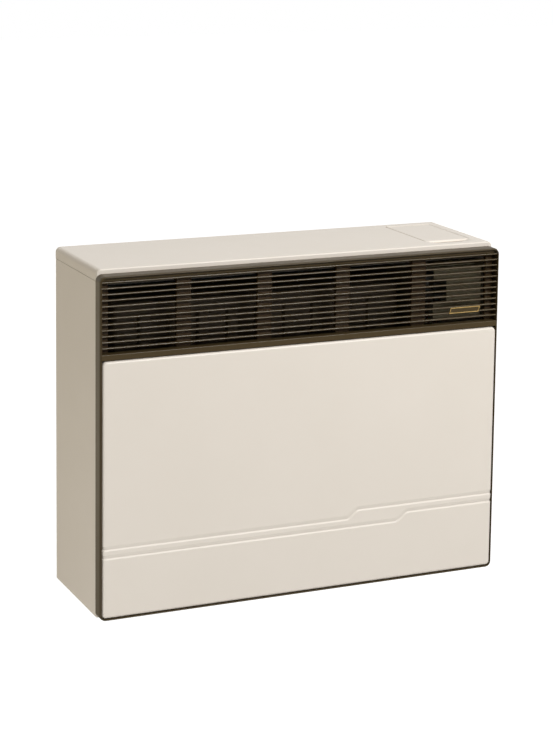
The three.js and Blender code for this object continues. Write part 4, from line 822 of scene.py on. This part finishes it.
def pressing(inset):
    """One face of the pressed sheet as a grid, followed by a ring where its edges end at the back."""
    points = []
    middle_z = (panel_low + panel_high) / 2
    shrink_x = (panel_half - inset) / panel_half
    shrink_z = (panel_high - panel_low - 2 * inset) / (panel_high - panel_low)
    for row in rows:
        for x in columns:
            z, pressed = row_height(row, x)
            from_side = panel_half - abs(x)
            from_end = min(z - panel_low, panel_high - z)
            corner = corner_low if z < middle_z else corner_high
            nearest = min(from_side, from_end)
            if from_side < corner and from_end < corner:
                x, from_end, nearest = in_corner(x, from_side, from_end, corner)
                z = panel_low + from_end if z < middle_z else panel_high - from_end
            fall = edge_roll - math.sqrt(edge_roll**2 - max(edge_roll - nearest, 0) ** 2)
            pressed *= 1 + max(1 - from_side / groove_run_out, 0)
            y = panel_front + inset + fall * (1 - inset / edge_roll) + pressed
            points.append((x * shrink_x, y, middle_z + (z - middle_z) * shrink_z))
    return points + [(points[i][0], panel_back, points[i][2]) for i in border_of(len(columns), len(rows))]


def border_of(wide, high):
    """The points round a grid, in order."""
    border = [*range(wide), *(r * wide + wide - 1 for r in range(1, high))]
    border += [(high - 1) * wide + c for c in range(wide - 2, -1, -1)]
    return border + [r * wide for r in range(high - 2, 0, -1)]


def grid_faces(wide, high):
    """The faces of a grid of points."""
    starts = [r * wide + c for r in range(high - 1) for c in range(wide - 1)]
    return [(k, k + 1, k + wide + 1, k + wide) for k in starts]


border = border_of(len(columns), len(rows))
ring_start = len(columns) * len(rows)
second = ring_start + len(border)
faces = grid_faces(len(columns), len(rows))
faces += [tuple(k + second for k in face) for face in faces]
for k in range(len(border)):
    following = (k + 1) % len(border)
    lip, next_lip = ring_start + k, ring_start + following
    faces.append((border[k], border[following], next_lip, lip))
    faces.append((lip, next_lip, next_lip + second, lip + second))
    faces.append((border[k] + second, border[following] + second, next_lip + second, lip + second))
panel_mesh = mesh_of("cream_panel", pressing(0) + pressing(panel_sheet), faces)
finish("cream_panel", panel_mesh, cream, "case", ["front_panel"], sharp=50)
dress(["panel_clip_left", "panel_clip_right"], zinc_plated, edge=0.15)

# ---------------------------------------------------------------- lid
# A cream pressing with rolled edges, broad at the sides and tight at the front, dropped over the sides.
# Its opening over the controls has turned-down edges, and a dished finger recess in front.

lid_low, lid_high = (corner.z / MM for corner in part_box("top_lid"))
lid_half, lid_front, lid_back = 368, -215.7, -1.8
lid_rolls = (9, 2.5, 1.5)  # radii at the sides, the front and the back
opening = (256, 344, -201, -19)
recess_depth = 5


def plan_ring(box, radii, angle, top, steps=8):
    """One ring of a pan: a rectangle whose edges roll over by their own radii, here at this angle."""
    x0, x1, y0, y1 = box
    side, near, far = radii
    shrink, sunk = math.cos(math.radians(angle)), 1 - math.sin(math.radians(angle))
    right, left, front, back = x1 - side, x0 + side, y0 + near, y1 - far
    points = []
    corners = [(right, front, near, -90), (right, back, far, 0)]
    corners += [(left, back, far, 90), (left, front, near, 180)]
    for cx, cy, end, start in corners:
        for k in range(steps + 1):
            turn = math.radians(start + 90 * k / steps)
            c, s = math.cos(turn), math.sin(turn)
            size = side * c * c + end * s * s
            points.append((cx + side * shrink * c, cy + end * shrink * s, top - size * sunk))
    return points


def pan(box, radii, top, low, opening=None):
    """A closed pan of sheet, turned down all round; an opening in its top has turned-down edges too."""
    thick = 1.2

    def side(draw_in, angles):
        x0, x1, y0, y1 = box
        inner_box = (x0 + draw_in, x1 - draw_in, y0 + draw_in, y1 - draw_in)
        inner_radii = [max(r - draw_in, 0.2) for r in radii]
        return [plan_ring(inner_box, inner_radii, a, top - draw_in) for a in angles]

    outer, inner = side(0, range(0, 91, 10)), side(thick, range(0, 91, 15))
    hem = thick / 2
    outer.insert(0, [(x, y, low + hem) for x, y, z in outer[0]])
    inner.insert(0, [(x, y, low + hem) for x, y, z in inner[0]])
    outer.insert(0, [(x, y, low) for x, y, z in side(hem, [0])[0]])
    count = len(outer[0])
    rings = [*reversed(inner), *outer]
    points = [p for ring in rings for p in ring]
    faces = []
    for r in range(len(rings) - 1):
        faces += band(r * count, (r + 1) * count, count)
    corners = [[first + count // 4 * i for i in range(4)] for first in ((len(rings) - 1) * count, 0)]
    if not opening:
        return points, [*faces, *(tuple(c) for c in corners)]
    x0, x1, y0, y1 = opening
    bend, drop = 1.4, 8
    turns = [math.radians(a) for a in range(0, 91, 15)]
    curve = [(bend * (1 - math.sin(a)), top - bend * (1 - math.cos(a))) for a in turns]
    curve += [(0, top - drop), (thick, top - drop), (thick, top - thick - 0.4), (thick + 0.4, top - thick)]
    start = len(points)
    for grow, z in curve:
        left, right, front, back = x0 - grow, x1 + grow, y0 - grow, y1 + grow
        points += [(right, front, z), (right, back, z), (left, back, z), (left, front, z)]
    for r in range(len(curve) - 1):
        faces += band(start + 4 * r, start + 4 * r + 4, 4)
    for outside, inside in ((corners[0], start), (corners[1], start + 4 * (len(curve) - 1))):
        faces += [(outside[k], outside[(k + 1) % 4], inside + (k + 1) % 4, inside + k) for k in range(4)]
    return points, faces


lid_box = (-lid_half, lid_half, lid_front, lid_back)
lid_mesh = mesh_of("cream_lid", *pan(lid_box, lid_rolls, lid_high, lid_low, opening))
finish("cream_lid", lid_mesh, cream, "case", ["top_lid"], sharp=50)
x0, x1, y0, y1 = opening
recess_back, ledge_end = -177.6, -167
lap, fade = 1.7, 20  # over the opening's bend, and the dish's soft ends
dish_sheet, dish_proud = 1.2, 0.02


def ease(t):
    """A smooth step from 0 to 1."""
    t = min(max(t, 0), 1)
    return t * t * (3 - 2 * t)


width = x1 - x0 + 2 * lap
across = [0, lap, *(lap + fade * i / 10 for i in range(1, 11))]
across += [width - d for d in reversed(across)]
dish_rows = 15
along = [y0 - lap + (recess_back - y0 + lap) * i / (dish_rows - 1) for i in range(dish_rows)]
along += [recess_back + 0.2, ledge_end]
dish = []
for under in (0, dish_sheet):
    for row, y in enumerate(along):
        for d in across:
            ends = ease((min(d, width - d) - lap) / fade) if row < dish_rows else 1
            sunk = recess_depth * ends * ease((y - y0) / (recess_back - y0))
            dish.append((x0 - lap + d, y, lid_high + dish_proud - sunk - under))
wide, long = len(across), len(along)
below = wide * long
dish_faces = grid_faces(wide, long)
dish_faces += [tuple(k + below for k in face) for face in dish_faces]
brink = border_of(wide, long)
dish_faces += [(a, b, b + below, a + below) for a, b in zip(brink, brink[1:] + brink[:1])]
dish_mesh = mesh_of("finger_recess", dish, dish_faces)
finish("finger_recess", dish_mesh, cream, "case", ["top_lid"], sharp=50)

# ---------------------------------------------------------------- flap
# A small cream pan with a rounded nose over the finger recess, rolled at its back round a steel hinge pin
# that has a formed head.

hinge_y, hinge_z = -24, 525.6
near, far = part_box("control_flap")
start, end = near.x / MM, far.x / MM
flap_box, flap_rolls = (start, end, near.y / MM, hinge_y), (1.0, 3.0, 0.4)
flap_mesh = mesh_of("flap_pan", *pan(flap_box, flap_rolls, lid_high, lid_high - recess_depth + 0.3))
finish("flap_pan", flap_mesh, cream, "flap", ["control_flap"], sharp=50)
roll_bore, roll_radius, roll_ease = 1.7, 4.5, 0.4
roll_loop = [(roll_bore, start), (roll_radius - roll_ease, start), (roll_radius, start + roll_ease)]
roll_loop += [(roll_radius, end - roll_ease), (roll_radius - roll_ease, end), (roll_bore, end)]
roll_mesh = mesh_of("flap_roll", *turned("x", hinge_y, hinge_z, roll_loop, 48))
finish("flap_roll", roll_mesh, cream, "flap", ["control_flap"], sharp=40)
start, end = (corner.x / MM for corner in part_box("flap_hinge_pin"))
pin_radius, head_radius, head_length = 1.5, 2.0, 1.5
pin_loop = [(axis_gap, start), (pin_radius - 0.3, start), (pin_radius, start + 0.3)]
pin_loop += [(pin_radius, end - head_length), (head_radius, end - head_length)]
pin_loop += [(head_radius, end - 0.3), (head_radius - 0.4, end), (axis_gap, end)]
pin_mesh = mesh_of("hinge_pin", *turned("x", hinge_y, hinge_z, pin_loop, 32))
finish("hinge_pin", pin_mesh, zinc_plated, "case", ["flap_hinge_pin"])
